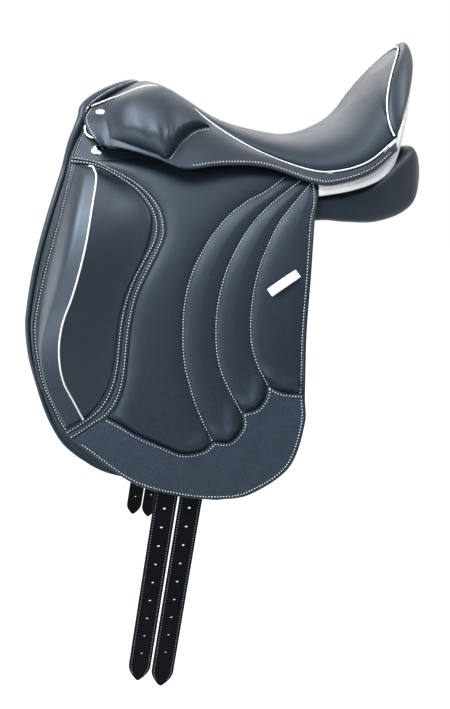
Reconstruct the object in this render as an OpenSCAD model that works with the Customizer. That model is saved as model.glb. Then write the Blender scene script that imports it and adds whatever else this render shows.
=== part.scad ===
// Dressage saddle: seat on a wooden tree, two flaps with outside knee blocks, panels and girth straps.
// X runs from pommel to cantle, Y across, Z up. Pieces are drawn on the +Y (off) side and mirrored.

/* [Flap] */
// Radius of the cylinder that the flaps hang on
flap_bend_r = 777; // [700:1:900]
// Clearance from the tree's leg out to the flap's inner face at the level of its bend
flap_clear = 37.5; // [35:0.5:40]
// Height of that level
flap_top_z = 45; // [40:1:50]
// Height of the level where the flap is widest
flap_wide_z = -330; // [-345:1:-315]
// Angle by which the flaps spread towards the rear
flap_spread = 5; // [3:0.5:6]
// Thickness of the flap leather
flap_t = 5; // [4:0.1:6]
// Thickness of the sweat flap leather
sweat_t = 3; // [2:0.1:4]
// Height of the quilted fields above the flap
quilt_h = 3; // [1.5:0.1:4]
// Thickness of the grip piece along the lower edge
grip_t = 1.6; // [1:0.1:2.5]
// Width of the stitched strip behind the knee block
strip_w = 11; // [8:0.5:13]
// Height of the knee block's ridge above the flap
block_h = 38; // [25:1:45]

/* [Seat] */
// Thickness of the seat leather
cover_t = 3; // [2:0.1:4]
// Thickness of the skirt leather
skirt_t = 3.5; // [2.5:0.1:4]
// Height of the padding on the skirts
pad_h = 15; // [8:0.5:18]
// Diameter of the white piping
piping_d = 4; // [3:0.1:4.4]
// Thickness of the facing round the back of the cantle
facing_t = 3; // [2:0.1:4]
// Thickness of the padded roll along the front arch
roll_t = 11; // [8:0.5:12]

/* [Girth straps] */
// Width of a girth strap
strap_w = 28.6; // [25:0.1:30]
// Thickness of a girth strap
strap_t = 4; // [3:0.1:4.5]
// Diameter of the buckle holes
hole_d = 5; // [4:0.1:6]
// Distance between the buckle holes
hole_pitch = 25.4; // [20:0.1:28]
// Number of buckle holes in a strap
hole_count = 9; // [6:1:9]
// Distance from the tip to the lowest hole
tip_to_hole = 35; // [30:1:40]

/* [Tree] */
// Distance of the outer face of the head's legs from the centre plane
leg_out = 80; // [76:0.5:82]
// Distance of their inner face from the centre plane
leg_in = 66; // [62:0.5:68]
// Thickness of the wooden rails
rail_t = 13; // [10:0.5:15]
// Depth of the head arch from front to back
head_depth = 50; // [40:1:54]
// Thickness of the steel head plate
head_plate_t = 3; // [2:0.1:4]
// Thickness of the spring steels on the rails
spring_t = 2; // [1:0.1:2.5]
// Diameter of the tree rivets
rivet_d = 6; // [4:0.1:7]

/* [Metal fittings] */
// Diameter of the stirrup bar
bar_d = 10; // [8:0.5:11]
// Length of the stirrup bar behind its plate
bar_l = 66; // [55:1:70]
// Thickness of the stirrup bar's plate
bar_plate_t = 4; // [3:0.1:4.5]
// Gap for the stirrup leather behind the bar
bar_gap = 5.4; // [4.8:0.1:6]
// Wire diameter of the D rings
ring_wire_d = 3.6; // [3:0.1:4]
// Inner half width of the D rings
ring_r = 12.5; // [11:0.5:13]
// Diameter of the flap stud's head
stud_d = 15; // [12:0.5:17]
// Width of the oval saddle nail's head
nail_d = 13; // [10:0.5:15]

/* [Hidden] */
$fn = 48;
// Clearance between pieces that lie against each other
gap = 0.3;
// Clearance between a faceted piece and a curved one
seat_gap = 0.6;
// Gap at the line where a leather piece bends
bend_gap = 0.8;
// Radial clearance of a rivet, stud or nail in its hole
hole_gap = 0.15;

// Smooth curve through points: Catmull-Rom segments, with the end points reflected
function blend4(a, b, c, d, t) =
    (2 * b + (c - a) * t + (2 * a - 5 * b + 4 * c - d) * t * t + (3 * b - a - 3 * c + d) * t * t * t) / 2;
function curve(pts, u) =
    let (n = len(pts) - 1, s = max(0, min(n, u)), i = min(n - 1, floor(s)),
        before = i > 0 ? pts[i - 1] : 2 * pts[0] - pts[1],
        after = i < n - 1 ? pts[i + 2] : 2 * pts[n] - pts[n - 1])
    blend4(before, pts[i], pts[i + 1], after, s - i);
function trace(pts, steps) = [for (i = [0:steps]) curve(pts, i * (len(pts) - 1) / steps)];
function cubic(a, b, c, d, t) =
    a * pow(1 - t, 3) + b * 3 * t * pow(1 - t, 2) + c * 3 * t * t * (1 - t) + d * pow(t, 3);
function unit(v) = v / norm(v);
function mirrored(p) = [p.x, -p.y, p.z];

// Solid through closed rings of equal count, each laid out as an upper row and a lower row back
module skin(rings, flip = false) {
    n = len(rings[0]);
    m = n / 2;
    last = (len(rings) - 1) * n;
    walls = [for (r = [0:len(rings) - 2], i = [0:n - 1])
        let (j = (i + 1) % n, a = r * n + i, b = r * n + j, c = a + n, d = b + n)
        each [[a, b, d], [a, d, c]]];
    caps = [for (i = [0:m - 2]) let (j = n - 1 - i, k = n - 2 - i)
        each [[i, j, i + 1], [i + 1, j, k],
            [last + i, last + i + 1, last + j], [last + i + 1, last + k, last + j]]];
    faces = [for (f = concat(walls, caps)) flip ? [f[0], f[2], f[1]] : f];
    polyhedron([for (r = rings) each r], faces, convexity = 10);
}

// Round tube along points, with its rings square to the path and turned from a direction beside it
module tube(path, r, beside, sides = 6) {
    n = len(path) - 1;
    rings = [for (i = [0:n])
        let (t = unit(path[min(n, i + 1)] - path[max(0, i - 1)]),
            side = unit(cross(t, beside)), up = cross(side, t))
        [for (k = [0:sides - 1]) let (w = (k + 0.5) * 360 / sides)
            path[i] + r * (cos(w) * side + sin(w) * up)]];
    skin(rings);
}

module side(near) {
    if (near) mirror([0, 1, 0]) children();
    else children();
}

// Flap surface: a cylinder lying along the saddle, spread towards the rear
spread_x = -50;
flap_half_w = leg_out + flap_clear + flap_bend_r
    - sqrt(pow(flap_bend_r, 2) - pow(flap_top_z - flap_wide_z, 2));
function flap_n(z, off) =
    flap_half_w - flap_bend_r + sqrt(pow(flap_bend_r + off, 2) - pow(z - flap_wide_z, 2));
function flap_y(x, z, off) = flap_n(z, off) / cos(flap_spread) + (x - spread_x) * tan(flap_spread);
function on_flap(p, off) = [p.x, flap_y(p.x, p.y, off), p.y];
function flap_lean(z) = asin((z - flap_wide_z) / flap_bend_r);

module flap_cylinder(off) {
    translate([spread_x, 0, flap_wide_z]) rotate([0, 0, flap_spread])
        translate([0, flap_half_w - flap_bend_r, 0]) rotate([0, 90, 0])
            cylinder(r = flap_bend_r + off, h = 1200, center = true, $fn = 480);
}
// Outline in X and Z, cut from a layer between two heights over the flap's inner face
module flap_layer(outline, low, high) {
    intersection() {
        translate([0, 300, 0]) rotate([90, 0, 0]) linear_extrude(300) polygon(outline);
        difference() {
            flap_cylinder(high);
            flap_cylinder(low);
        }
    }
}
// Local frame on the flap: X along it, Y up it, Z out of it
module at_flap(x, z, off) {
    translate([x, flap_y(x, z, off), z]) rotate([0, 0, flap_spread + 180])
        rotate([90 - flap_lean(z), 0, 0]) mirror([1, 0, 0]) children();
}

// Line where the flap bends when it is lifted, from its front to its rear
bend_front = [-217, 61];
bend_rear = [86, 14.6];
bend_slope = (bend_rear.y - bend_front.y) / (bend_rear.x - bend_front.x);
function bend_z(x) = bend_front.y + (x - bend_front.x) * bend_slope;

flap_edge = trace([[-212, 60], [-216, 46], [-226, 5], [-238, -35], [-250, -75], [-260, -115],
    [-263, -136], [-262, -166], [-257, -197], [-246, -228], [-233, -256], [-206, -282], [-151, -326],
    [-93, -346], [-46, -351], [-9, -345], [38, -311], [57, -256], [57.5, -218], [61, -146], [70, -77],
    [79, -16], [86, 14.6]], 60);
module flap() {
    outline = [for (p = flap_edge) [p.x, min(p.y, bend_z(p.x) - bend_gap / 2)]];
    color("#22252b") flap_layer(outline, 0, flap_t);
}

// Fixed top of the flap, cut away round the stirrup bar
bar_cut = [[-72, 66], [-175, 70], [-175, 97]];
flap_head_top = [[82, 36], [40, 50], [-20, 66], [-66, 74], each bar_cut, [-166, 99], [-166, 116],
    [-176, 122], [-186, 115], [-191, 105], [-196, 92], [-201, 79], [-206, 67]];
stud_place = [-180, 68];
module flap_head() {
    corner_x = flap_edge[0].x + 1;
    bottom = [[corner_x, bend_z(corner_x) + bend_gap / 2], bend_rear + [-3, bend_gap / 2]];
    color("#22252b") difference() {
        flap_layer(concat(bottom, flap_head_top), 0, flap_t);
        at_stud() cylinder(d = shank_d + 2 * hole_gap, h = 80, center = true);
        nail_axis() cylinder(d = shank_d + 2 * hole_gap, h = 60, center = true);
    }
}

// Leather under the flap that lies against the horse
strap_lift = 1;
sweat_top = -strap_t - strap_lift - 1.5;
sweat_edge = concat(trace([[-209, 88], [-217, 66], [-224, 47], [-238, 5], [-251, -36], [-262, -77],
    [-269.5, -117], [-271.5, -138], [-269.5, -169], [-262, -200], [-251, -233], [-240, -259],
    [-228, -277], [-208, -295], [-184, -311], [-150, -320], [-95, -322], [-40, -318], [5, -303],
    [30, -265], [35, -220], [38, -146], [46, -77], [56, 18]], 52),
    [[-100, 18], [-150, 50], [-172, 69.5], [-204, 69.5], [-204.5, 88]]);
module sweat_flap() {
    color("#1b1d21") difference() {
        flap_layer(sweat_edge, sweat_top - sweat_t, sweat_top);
        at_stud() cylinder(d = shank_d + 2 * hole_gap, h = 80, center = true);
    }
}

// Knee block: stations from top to bottom with front edge, ridge, rear edge and share of the height
block_stations = [
    [[-206, 51], [-189, 46], [-180, 43], 0.30],
    [[-209, 38], [-181, 33], [-138, 24], 0.55],
    [[-220, 4], [-186, -2], [-120, -8], 0.82],
    [[-233, -40], [-195, -46], [-130, -50], 0.96],
    [[-245, -86], [-210, -90], [-151, -92], 1],
    [[-252, -120], [-222, -122], [-161, -125], 0.95],
    [[-255, -150], [-228, -154], [-168, -160], 0.82],
    [[-252, -184], [-226, -187], [-176, -192], 0.60],
    [[-245, -214], [-217, -214], [-190, -217], 0.34],
    [[-230, -250], [-212, -241], [-206, -233], 0.14]];
block_share = [0.12, 0.62, 0.90, 1.0, 0.72, 0.44, 0.20, 0.06];
block_place = [0, 0.22, 0.6, 1, 1.25, 1.5, 1.76, 2];
block_rows = 18;
function block_station(u) =
    let (s = curve([for (b = block_stations) [b[0].x, b[0].y, b[1].x, b[1].y, b[2].x, b[2].y, b[3]]], u))
    [[s[0], s[1]], [s[2], s[3]], [s[4], s[5]], s[6]];
function block_foot(s, w) = w < 1 ? s[0] + (s[1] - s[0]) * w : s[1] + (s[2] - s[1]) * (w - 1);
block_base = flap_t + seat_gap;
module knee_block() {
    rings = [for (r = [0:block_rows])
        let (s = block_station(r * (len(block_stations) - 1) / block_rows))
        concat([for (i = [0:len(block_place) - 1])
            on_flap(block_foot(s, block_place[i]), block_base + 1.5 + block_h * s[3] * block_share[i])],
            [for (i = [len(block_place) - 1:-1:0]) on_flap(block_foot(s, block_place[i]), block_base)])];
    color("#24272d") skin(rings, true);
}
module block_piping() {
    path = [for (r = [0:24])
        let (s = block_station(0.6 + r * (len(block_stations) - 1.75) / 24))
        on_flap(s[1], block_base + 1.5 + block_h * s[3] + piping_d / 2 + seat_gap)];
    color("#e8e6e0") tube(path, piping_d / 2, [0, 1, 0]);
}
// Stitched strip along the rear of the block
module block_strip() {
    inner = [for (r = [0:24]) block_station(r * (len(block_stations) - 1) / 24)[2]];
    clear = 1.2;
    function away(i) = let (t = unit(inner[min(24, i + 1)] - inner[max(0, i - 1)])) [-t.y, t.x];
    band = concat([for (i = [0:24]) inner[i] + clear * away(i)],
        [for (i = [24:-1:0]) inner[i] + (clear + strip_w) * away(i)]);
    outline = [for (p = band) [p.x, min(p.y, bend_z(p.x) - 6)]];
    color("#1e2126") flap_layer(outline, flap_t + gap, flap_t + gap + grip_t);
}

// Grained grip piece along the lower edge, with three scallops at its top
scallops = [
    [[50, -222], [34, -220], [18, -213]],
    [[12, -228], [2, -238], [-14, -241]],
    [[-14, -256], [-30, -276], [-54, -273]],
    [[-68, -286], [-95, -291], [-137, -271], [-182, -242], [-199, -246]]];
grip_bottom = trace([[-226, -252], [-203, -276], [-150, -319], [-93, -338], [-46, -341], [-14, -334],
    [30, -303], [48, -254], [50, -222]], 24);
module grip_piece() {
    top = [for (s = scallops) each trace(s, 5)];
    color("#2c3036") flap_layer(concat(top, grip_bottom), flap_t + gap, flap_t + gap + grip_t);
}

// Three quilted fields between the sewn lines of the flap
quilt_lines = [
    [[20, 18], [-1, 8], [-25, -9], [-46, -31], [-62, -54], [-74, -77], [-83, -106], [-87, -139],
        [-87, -174], [-82, -201], [-73, -233], [-58, -268]],
    [[40, 14], [23, 1], [1, -20], [-18, -46], [-33, -74], [-43, -104], [-48, -137], [-47, -173],
        [-38, -201], [-20, -236]],
    [[60, 10], [36, -16], [19, -44], [6, -72], [-3, -105], [-7, -140], [-5, -164], [3, -188], [14, -207]],
    [[77, 4], [72, -16], [62, -77], [53, -146], [50, -214]]];
quilt_seam = 1.5;
module quilting() {
    color("#24272d") for (i = [0:2]) {
        front = trace(quilt_lines[i], 16);
        rear = trace(quilt_lines[i + 1], 16);
        field = concat([for (p = front) p + [quilt_seam, 0]],
            [for (k = [16:-1:0]) rear[k] - [quilt_seam, 0]]);
        flap_layer(field, flap_t + gap, flap_t + gap + quilt_h);
    }
}

// Loop on the rear quilted field that takes the end of the stirrup leather
keeper_place = [34.5, -87];
keeper_turn = 33.5;
keeper_l = 44;
keeper_w = 11;
keeper_t = 2;
keeper_rise = 4.8;
module keeper() {
    end = keeper_l / 2;
    foot = end - 7;
    crown = end - 11;
    half = [[end, 0], [end, keeper_t], [foot + 1, keeper_t], [crown + 1, keeper_rise + keeper_t]];
    under = [[crown, keeper_rise], [foot, 0]];
    profile = concat(half, [for (i = [3:-1:0]) [-half[i].x, half[i].y]],
        [[-foot, 0], [-crown, keeper_rise]], under);
    color("#e8e6e0") at_flap(keeper_place.x, keeper_place.y, flap_t + gap + quilt_h + seat_gap)
        rotate([0, 0, keeper_turn]) translate([0, keeper_w / 2, 0]) rotate([90, 0, 0])
            linear_extrude(keeper_w) polygon(profile);
}

// Girth straps: slant, where they cross below the flap, and how far the tails reach
strap_slant = 9.7;
strap_bottom_z = -356;
strap_x = [-114, -83];
// Distance from a strap's top hole to the line where it bends, and how much longer each tip is
hole_to_bend = 8;
tip_extra = [0, 10];
tail_l = [for (e = tip_extra) hole_to_bend + (hole_count - 1) * hole_pitch + tip_to_hole + e];
// Angle by which the tails hang outwards
tail_out = 4;
strap_top_z = 40;
strap_d = [-sin(strap_slant), -cos(strap_slant)];
strap_p = [cos(strap_slant), -sin(strap_slant)];
module strap(i) {
    foot = [strap_x[i], strap_bottom_z];
    low = foot - strap_d * (strap_t / 2 + bend_gap);
    high = foot - strap_d * (strap_top_z - strap_bottom_z) / cos(strap_slant);
    w = strap_p * strap_w / 2;
    color("#17181b") flap_layer([low - w, low + w, high + w, high - w], -strap_lift - strap_t, -strap_lift);
}
// Frame of a hanging tail: X across the strap, Y out of it, Z up along it, origin on its bending line
module at_tail(i) {
    off = -strap_lift - strap_t / 2;
    translate([strap_x[i], flap_y(strap_x[i], strap_bottom_z, off), strap_bottom_z])
        rotate([0, 0, flap_spread]) rotate([0, strap_slant, 0]) rotate([tail_out, 0, 0]) children();
}
module strap_tail(i) {
    shoulder = 22;
    tip = concat([[-strap_w / 2, 0], [strap_w / 2, 0]],
        [for (a = [0:15:180]) [strap_w / 2 * cos(a) * (0.55 + 0.45 * pow(abs(cos(a)), 2)),
            shoulder - tail_l[i] - shoulder * sin(a)]]);
    color("#17181b") at_tail(i) difference() {
        union() {
            translate([0, strap_t / 2, 0]) rotate([90, 0, 0]) linear_extrude(strap_t) polygon(tip);
            rotate([0, 90, 0]) cylinder(d = strap_t, h = strap_w, center = true);
        }
        for (k = [0:hole_count - 1])
            translate([0, 0, -hole_to_bend - k * hole_pitch]) rotate([90, 0, 0])
                cylinder(d = hole_d, h = 20, center = true);
    }
}

// Webs from the tree's rail to the straps, square to the spread of the flaps
web_t = 2;
web_from = -64;
web_w = 62;
web_top_z = 79;
module girth_web() {
    inner = -strap_lift - strap_t - gap;
    rail_y = curve(rail_outer, 2.57);
    top_n = rail_y.y * cos(flap_spread) - (rail_y.x - spread_x) * sin(flap_spread) + gap + web_t;
    low_z = strap_top_z - 15;
    line = [[top_n, web_top_z], [top_n, web_top_z - 14],
        [flap_n(strap_top_z + 6, inner) - 5, strap_top_z + 10],
        [flap_n(strap_top_z, inner), strap_top_z], [flap_n(low_z, inner), low_z]];
    profile = concat(line, [for (i = [4:-1:0]) line[i] - [0.8, 0.6] * web_t]);
    color("#c9c2b0") translate([spread_x, 0, 0]) rotate([0, 0, flap_spread])
        translate([web_from - spread_x, 0, 0]) rotate([90, 0, 90]) linear_extrude(web_w) polygon(profile);
}

// Seat ribs: welt point, handle there, centre point in X and Z, and sideways handle at the centre
welt_pts = [[-185, 70, 120], [-155, 60, 135], [-110, 57, 148], [-75, 67, 133], [-30, 91, 97],
    [20, 112, 67], [75, 131, 46], [110, 139, 43], [150, 143, 54], [189, 136, 82]];
rib_handles = [[14, -14, 12], [6, -8, 9], [0, -10, 7], [0, -10, 10], [0, -12, 17], [0, -10, 25],
    [0, -8, 32], [0, -6, 36], [-4, -8, 38], [-24, -16, 40], [-34, -14, 50], [-10, -4, 46], [6, 1, 42],
    [10, 0, 34]];
rib_tops = [[-122, 163], [-110, 162], [-92, 156], [-68, 141], [-28, 117], [20, 103], [68, 97], [108, 105],
    [150, 125], [193, 177], [235, 212], [246, 218], [254, 203], [250, 172]];
rib_widths = [24, 26, 27, 32, 42, 52, 60, 62, 58, 52, 58, 56, 54, 58];
// Station of the cantle's piping, and of the facing's upper edge
piping_u = 10;
facing_u = 13;
welt_end_u = 9;
function welt(u) = curve(welt_pts, min(u, welt_end_u));
function half_rib(u, t) =
    let (a = welt(u), h = curve(rib_handles, u), top = curve(rib_tops, u), w = curve(rib_widths, u))
    cubic(a, a + h, [top.x, w, top.y], [top.x, 0, top.y], t);
// Whole rib, with v from 0 on the off side to 1 on the near side
function rib(u, v) = v <= 0.5 ? half_rib(u, 2 * v) : mirrored(half_rib(u, 2 - 2 * v));
// Share of a rib that the seam takes, more at the front where the ribs leave the welt aslant
front_ease = 0.7;
function rib_start(u, edge) =
    edge * (1 + front_ease * max(0, 1.2 - u)) / (6 * norm(curve(rib_handles, u)));
function seat_normal(u, v) =
    let (d = 0.01, w = max(0.03, min(0.97, v)))
    unit(cross(rib(min(facing_u, u + 0.05), w) - rib(max(0, u - 0.05), w), rib(u, w - d) - rib(u, w + d)));
seam_edge = piping_d / 2 + 1.4;
cross_steps = 14;
// Row of points across the seat, moved in from the surface by a depth that may change along it
function seat_row(u, depth, step = 1, edge = seam_edge) = [for (i = [0:step:cross_steps])
    let (e = rib_start(u, edge), v = e + (1 - 2 * e) * i / cross_steps)
    rib(u, v) - seat_normal(u, v) * depth];
function cover_ring(u) = let (low = seat_row(u, cover_t))
    concat(seat_row(u, 0), [for (i = [cross_steps:-1:0]) low[i]]);
cover_rows = 20;
cover_end_u = piping_u - 0.01;
module seat_cover() {
    color("#26292f") skin([for (r = [0:cover_rows]) cover_ring(r * cover_end_u / cover_rows)], true);
}
module cantle_cover() {
    rows = 5;
    span = facing_u - piping_u - 0.03;
    color("#1e2126") skin([for (r = [0:rows]) cover_ring(piping_u + 0.01 + r * span / rows)], true);
}
// How much further the piping stands off in the creases at its ends
crease_lift = 1.4;
module cantle_piping() {
    path = [for (i = [0:28])
        let (v = 0.03 + 0.94 * i / 28, high = piping_d / 2 + gap + crease_lift * (1 - sin(180 * v)))
        rib(piping_u, v) + seat_normal(piping_u, v) * high];
    color("#e8e6e0") tube(path, piping_d / 2 - 0.2, [1, 0, 0]);
}
module welt_piping() {
    path = [for (r = [0:36]) welt(0.2 + r * (welt_end_u - 0.22) / 36)];
    color("#e8e6e0") tube(path, piping_d / 2, [0, 0, 1]);
}
// Foam under the cover: thickness on the centre line at each rib
foam_depth = [6, 6, 7, 8, 18, 32, 39, 36, 15, 9, 6];
foam_min = 2.5;
module seat_foam() {
    top = cover_t + 2 * seat_gap;
    last = cross_steps - 1;
    function below(u, i) = top + foam_min + (curve(foam_depth, u) - foam_min) * sin(180 * i / cross_steps);
    function ring(u) = concat([for (i = [1:last]) seat_row(u, top)[i]],
        [for (i = [last:-1:1]) seat_row(u, below(u, i))[i]]);
    color("#d8c98e") skin([for (r = [1:cover_rows - 1]) ring(r * cover_end_u / cover_rows)], true);
}

// Skirts: lower edge at the ribs, and how far they bulge
skirt_edge = [[-181, 102, 79], [-150, 106, 72], [-112, 115, 61], [-75, 127, 45.5], [-30, 128.5, 51.5],
    [22, 136, 49], [80, 150.5, 29.5], [110, 152, 28.5], [151, 149.5, 45], [188, 139.5, 72]];
skirt_bulge = [6.5, 7, 8, 7, 5, 4, 3, 2, 1, 0.5];
function skirt_at(u, w, high = 0) =
    let (a = welt(u), b = curve(skirt_edge, u), down = unit(b - a),
        along = unit(welt(min(9, u + 0.1)) - welt(max(0, u - 0.1))), out = unit(cross(along, down)),
        n = out.y < 0 ? -out : out)
    a + (b - a) * w + n * (curve(skirt_bulge, u) * sin(180 * w) + high);
function skirt_start(u) = seam_edge / norm(curve(skirt_edge, u) - welt(u));
module skirt() {
    rows = 22;
    steps = 6;
    rings = [for (r = [0:rows])
        let (u = 0.06 + r * (welt_end_u - 0.2) / rows, s = skirt_start(u))
        concat([for (i = [0:steps]) skirt_at(u, s + (1 - s) * i / steps)],
            [for (i = [steps:-1:0]) skirt_at(u, s + (1 - s) * i / steps, -skirt_t)])];
    color("#22252b") difference() {
        skin(rings);
        nail_axis() cylinder(d = shank_d + 2 * hole_gap, h = 60, center = true, $fn = 16);
    }
}
// Padding on the skirt, with a stitched concave edge at its rear
pad_from = 0.6;
pad_to = 3.85;
pad_low = [0.84, 0.86, 0.88, 0.91, 0.93, 0.62, 0.36, 0.2];
module skirt_pad() {
    rows = 12;
    steps = 8;
    rings = [for (r = [0:rows])
        let (f = r / rows, u = pad_from + (pad_to - pad_from) * f, top = 0.06 + 0.03 * f,
            low = curve(pad_low, f * (len(pad_low) - 1)))
        concat([for (i = [0:steps]) let (w = top + (low - top) * i / steps,
                h = pad_h * pow(sin(180 * (0.04 + 0.92 * f)), 0.6) * pow(sin(180 * i / steps), 0.7))
                skirt_at(u, w, seat_gap + 0.8 + h)],
            [for (i = [steps:-1:0]) skirt_at(u, top + (low - top) * i / steps, seat_gap)])];
    color("#1e2126") skin(rings);
}

// White facing round the rear, under the skirts and up the back of the cantle
facing_end_x = 238;
facing_side = [[88, 146, 24], [130, 145, 32], [168, 136, 51]];
facing_back = [for (t = [0.14, 0.27, 0.45, 0.7, 1]) half_rib(facing_u, t) - [0, 0, 2.6]];
facing_upper = concat(facing_side, facing_back);
facing_lower = [[88, 147, 13], [130, 147, 20], [166, 143, 32], [187, 135, 48], [200, 120, 66],
    [215, 92, 80], [231, 50, 88], [facing_end_x, 0, 90]];
module rear_facing() {
    rows = 28;
    function section(u) =
        let (k = u <= 7 ? u : 14 - u, a = curve(facing_upper, k), b = curve(facing_lower, k),
            d = curve(facing_lower, min(7, k + 0.1)) - curve(facing_lower, max(0, k - 0.1)),
            out = unit(cross(b - a, d)), n = (out.x + out.y) < 0 ? -out : out,
            outer = [for (w = [0, 0.5, 1]) a + (b - a) * w + n * 2 * sin(180 * w)],
            ring = concat(outer, [for (i = [2:-1:0]) outer[i] - n * facing_t]))
        u <= 7 ? ring : [for (p = ring) mirrored(p)];
    color("#d9dadb") skin([for (r = [0:rows]) section(r * 14 / rows)]);
}

// Padded roll along the front arch
roll_pts = [[-129, 0, 162], [-136, 13, 160], [-152, 31, 152], [-174, 53, 136], [-190.5, 69, 119.6],
    [-197, 78, 107], [-203, 84.5, 93], [-211, 89, 75]];
module front_roll() {
    half = trace(roll_pts, 16);
    path = concat([for (i = [16:-1:1]) mirrored(half[i])], half);
    color("#1e2126") tube(path, roll_t / 2, [1, 0, 0], 8);
}

// Panels: stations along X, with inner top, outer top, outer bottom and inner bottom corners in Y and Z
panel_stations = [
    [-196, [50, 84], [68, 80], [102, 22], [84, 14]],
    [-185, [44, 86], [66, 78], [110, 0], [80, -2]],
    [-150, [38, 84], [60, 70], [124, -34], [70, -16]],
    [-100, [36, 78], [64, 62], [138, -50], [54, 0]],
    [-40, [36, 66], [76, 54], [148, -50], [42, 4]],
    [30, [36, 40], [100, 34], [148, -36], [40, 0]],
    [90, [36, 24], [140, 17], [142, -21], [42, -2]],
    [130, [36, 28], [140, 21], [139, -24], [44, 0]],
    [170, [36, 42], [132, 36], [130, -26], [46, 0]],
    [206, [38, 63], [112, 61], [118, -19], [48, 4]],
    [230, [44, 81], [102, 80], [108, -7], [52, 12]],
    [243, [52, 83], [92, 81], [98, 8], [56, 20]],
    [251, [62, 66], [80, 64], [84, 32], [66, 38]]];
panel_round = 0.5;
// Channel in the panel's front for the head's leg and its pocket
module head_recess() {
    room = 1.5;
    intersection() {
        at_head() translate([0, 0, -8]) linear_extrude(head_depth + 9.5)
            arch_2d([for (p = head_outer) p + [room, 0]], [for (p = head_inner) p - [room, 0]]);
        translate([-300, 0, leg_end_z - gap]) cube([300, 150, 200]);
    }
    pocket_box(gap, 5 * pocket_h);
}
module panel() {
    rows = 22;
    sides = 16;
    function corner(q, s, t) = (q[0] * (1 - s) * (1 + t) + q[1] * (1 + s) * (1 + t)
        + q[2] * (1 + s) * (1 - t) + q[3] * (1 - s) * (1 - t)) / 4;
    function squared(a) = sign(a) * pow(abs(a), panel_round);
    rings = [for (r = [0:rows])
        let (u = r * (len(panel_stations) - 1) / rows, x = curve([for (s = panel_stations) s[0]], u),
            q = [for (k = [1:4]) curve([for (s = panel_stations) s[k]], u)])
        [for (i = [0:sides - 1]) let (a = (i + 0.5) * 360 / sides,
            p = corner(q, squared(cos(a)), squared(sin(a)))) [x, p.x, p.y]]];
    color("#1c1e22") difference() {
        skin(rings, true);
        head_recess();
    }
}

// Tree: rails from a plan and a side band, a leaning head arch and a curved cantle
rail_top = [[-140, 126], [-110, 134], [-75, 120], [-30, 87], [20, 60], [75, 40], [110, 37],
    [150, 48], [190, 76], [214, 102]];
rail_outer = [[-140, 50], [-100, 49], [-40, 60], [30, 86], [100, 106], [160, 106], [196, 82], [206, 68]];
rail_inner = [[-140, 30], [-100, 27], [-40, 38], [30, 62], [100, 80], [150, 80], [184, 60], [196, 44]];
head_lean = 38;
head_top = [-132, 138];
leg_end_z = 52;
cantle_axis_x = 118;
cantle_t = 16;
cantle_clear = 3;
cantle_out_r = facing_end_x - facing_t - cantle_clear - cantle_axis_x;
cantle_in_r = cantle_out_r - cantle_t;
cantle_z = [84, 158];
cantle_half_w = 84;
module rail_band(low, high) {
    line = trace(rail_top, 27);
    translate([0, 150, 0]) rotate([90, 0, 0]) linear_extrude(300)
        polygon(concat([for (p = line) p + [0, high]], [for (i = [27:-1:0]) line[i] + [0, low]]));
}
module rail_plan(inset) {
    outer = trace(rail_outer, 21);
    inner = trace(rail_inner, 21);
    for (m = [0, 1]) mirror([0, m, 0]) linear_extrude(300)
        polygon(concat([for (p = outer) p - [0, inset]], [for (i = [21:-1:0]) inner[i] + [0, inset]]));
}
// Frame of the head arch: X across, Y down along the legs, Z to the rear through its depth
module at_head() {
    translate([head_top.x, 0, head_top.y]) rotate([0, 90 + head_lean, 0]) rotate([0, 0, -90]) children();
}
head_outer = [[0, 0], [34, 7], [58, 27], [73, 55], [leg_out, 84], [leg_out, 140]];
head_inner = [[0, 16], [22, 21], [44, 38], [58, 62], [leg_in, 88], [leg_in, 140]];
// Arch from the half outlines of its outer and inner edge
module arch_2d(outer, inner) {
    steps = 15;
    out = trace(outer, steps);
    in = trace(inner, steps);
    polygon(concat([for (k = [steps:-1:1]) [-out[k].x, out[k].y]], out,
        [for (k = [steps:-1:1]) in[k]], [for (p = in) [-p.x, p.y]]));
}
module tree() {
    color("#b98a55") difference() {
        union() {
            intersection() {
                rail_band(-rail_t, 0);
                rail_plan(0);
            }
            intersection() {
                at_head() linear_extrude(head_depth) arch_2d(head_outer, head_inner);
                translate([-300, -150, leg_end_z]) cube([300, 300, 200]);
            }
            for (m = [0, 1]) mirror([0, m, 0]) bar_seat();
            intersection() {
                translate([cantle_axis_x, 0, 0]) difference() {
                    cylinder(r = cantle_out_r, h = 300, $fn = 180);
                    translate([0, 0, -1]) cylinder(r = cantle_in_r, h = 302, $fn = 180);
                }
                translate([cantle_axis_x + 40, 0, cantle_z[0]]) rotate([90, 0, 90])
                    linear_extrude(200) polygon([for (a = [0:9:180])
                        [cantle_half_w * cos(a), (cantle_z[1] - cantle_z[0]) * sin(a)]]);
            }
        }
        rivet_holes(rivet_d + 2 * hole_gap);
        for (m = [0, 1]) mirror([0, m, 0]) bar_recess();
    }
}
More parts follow.
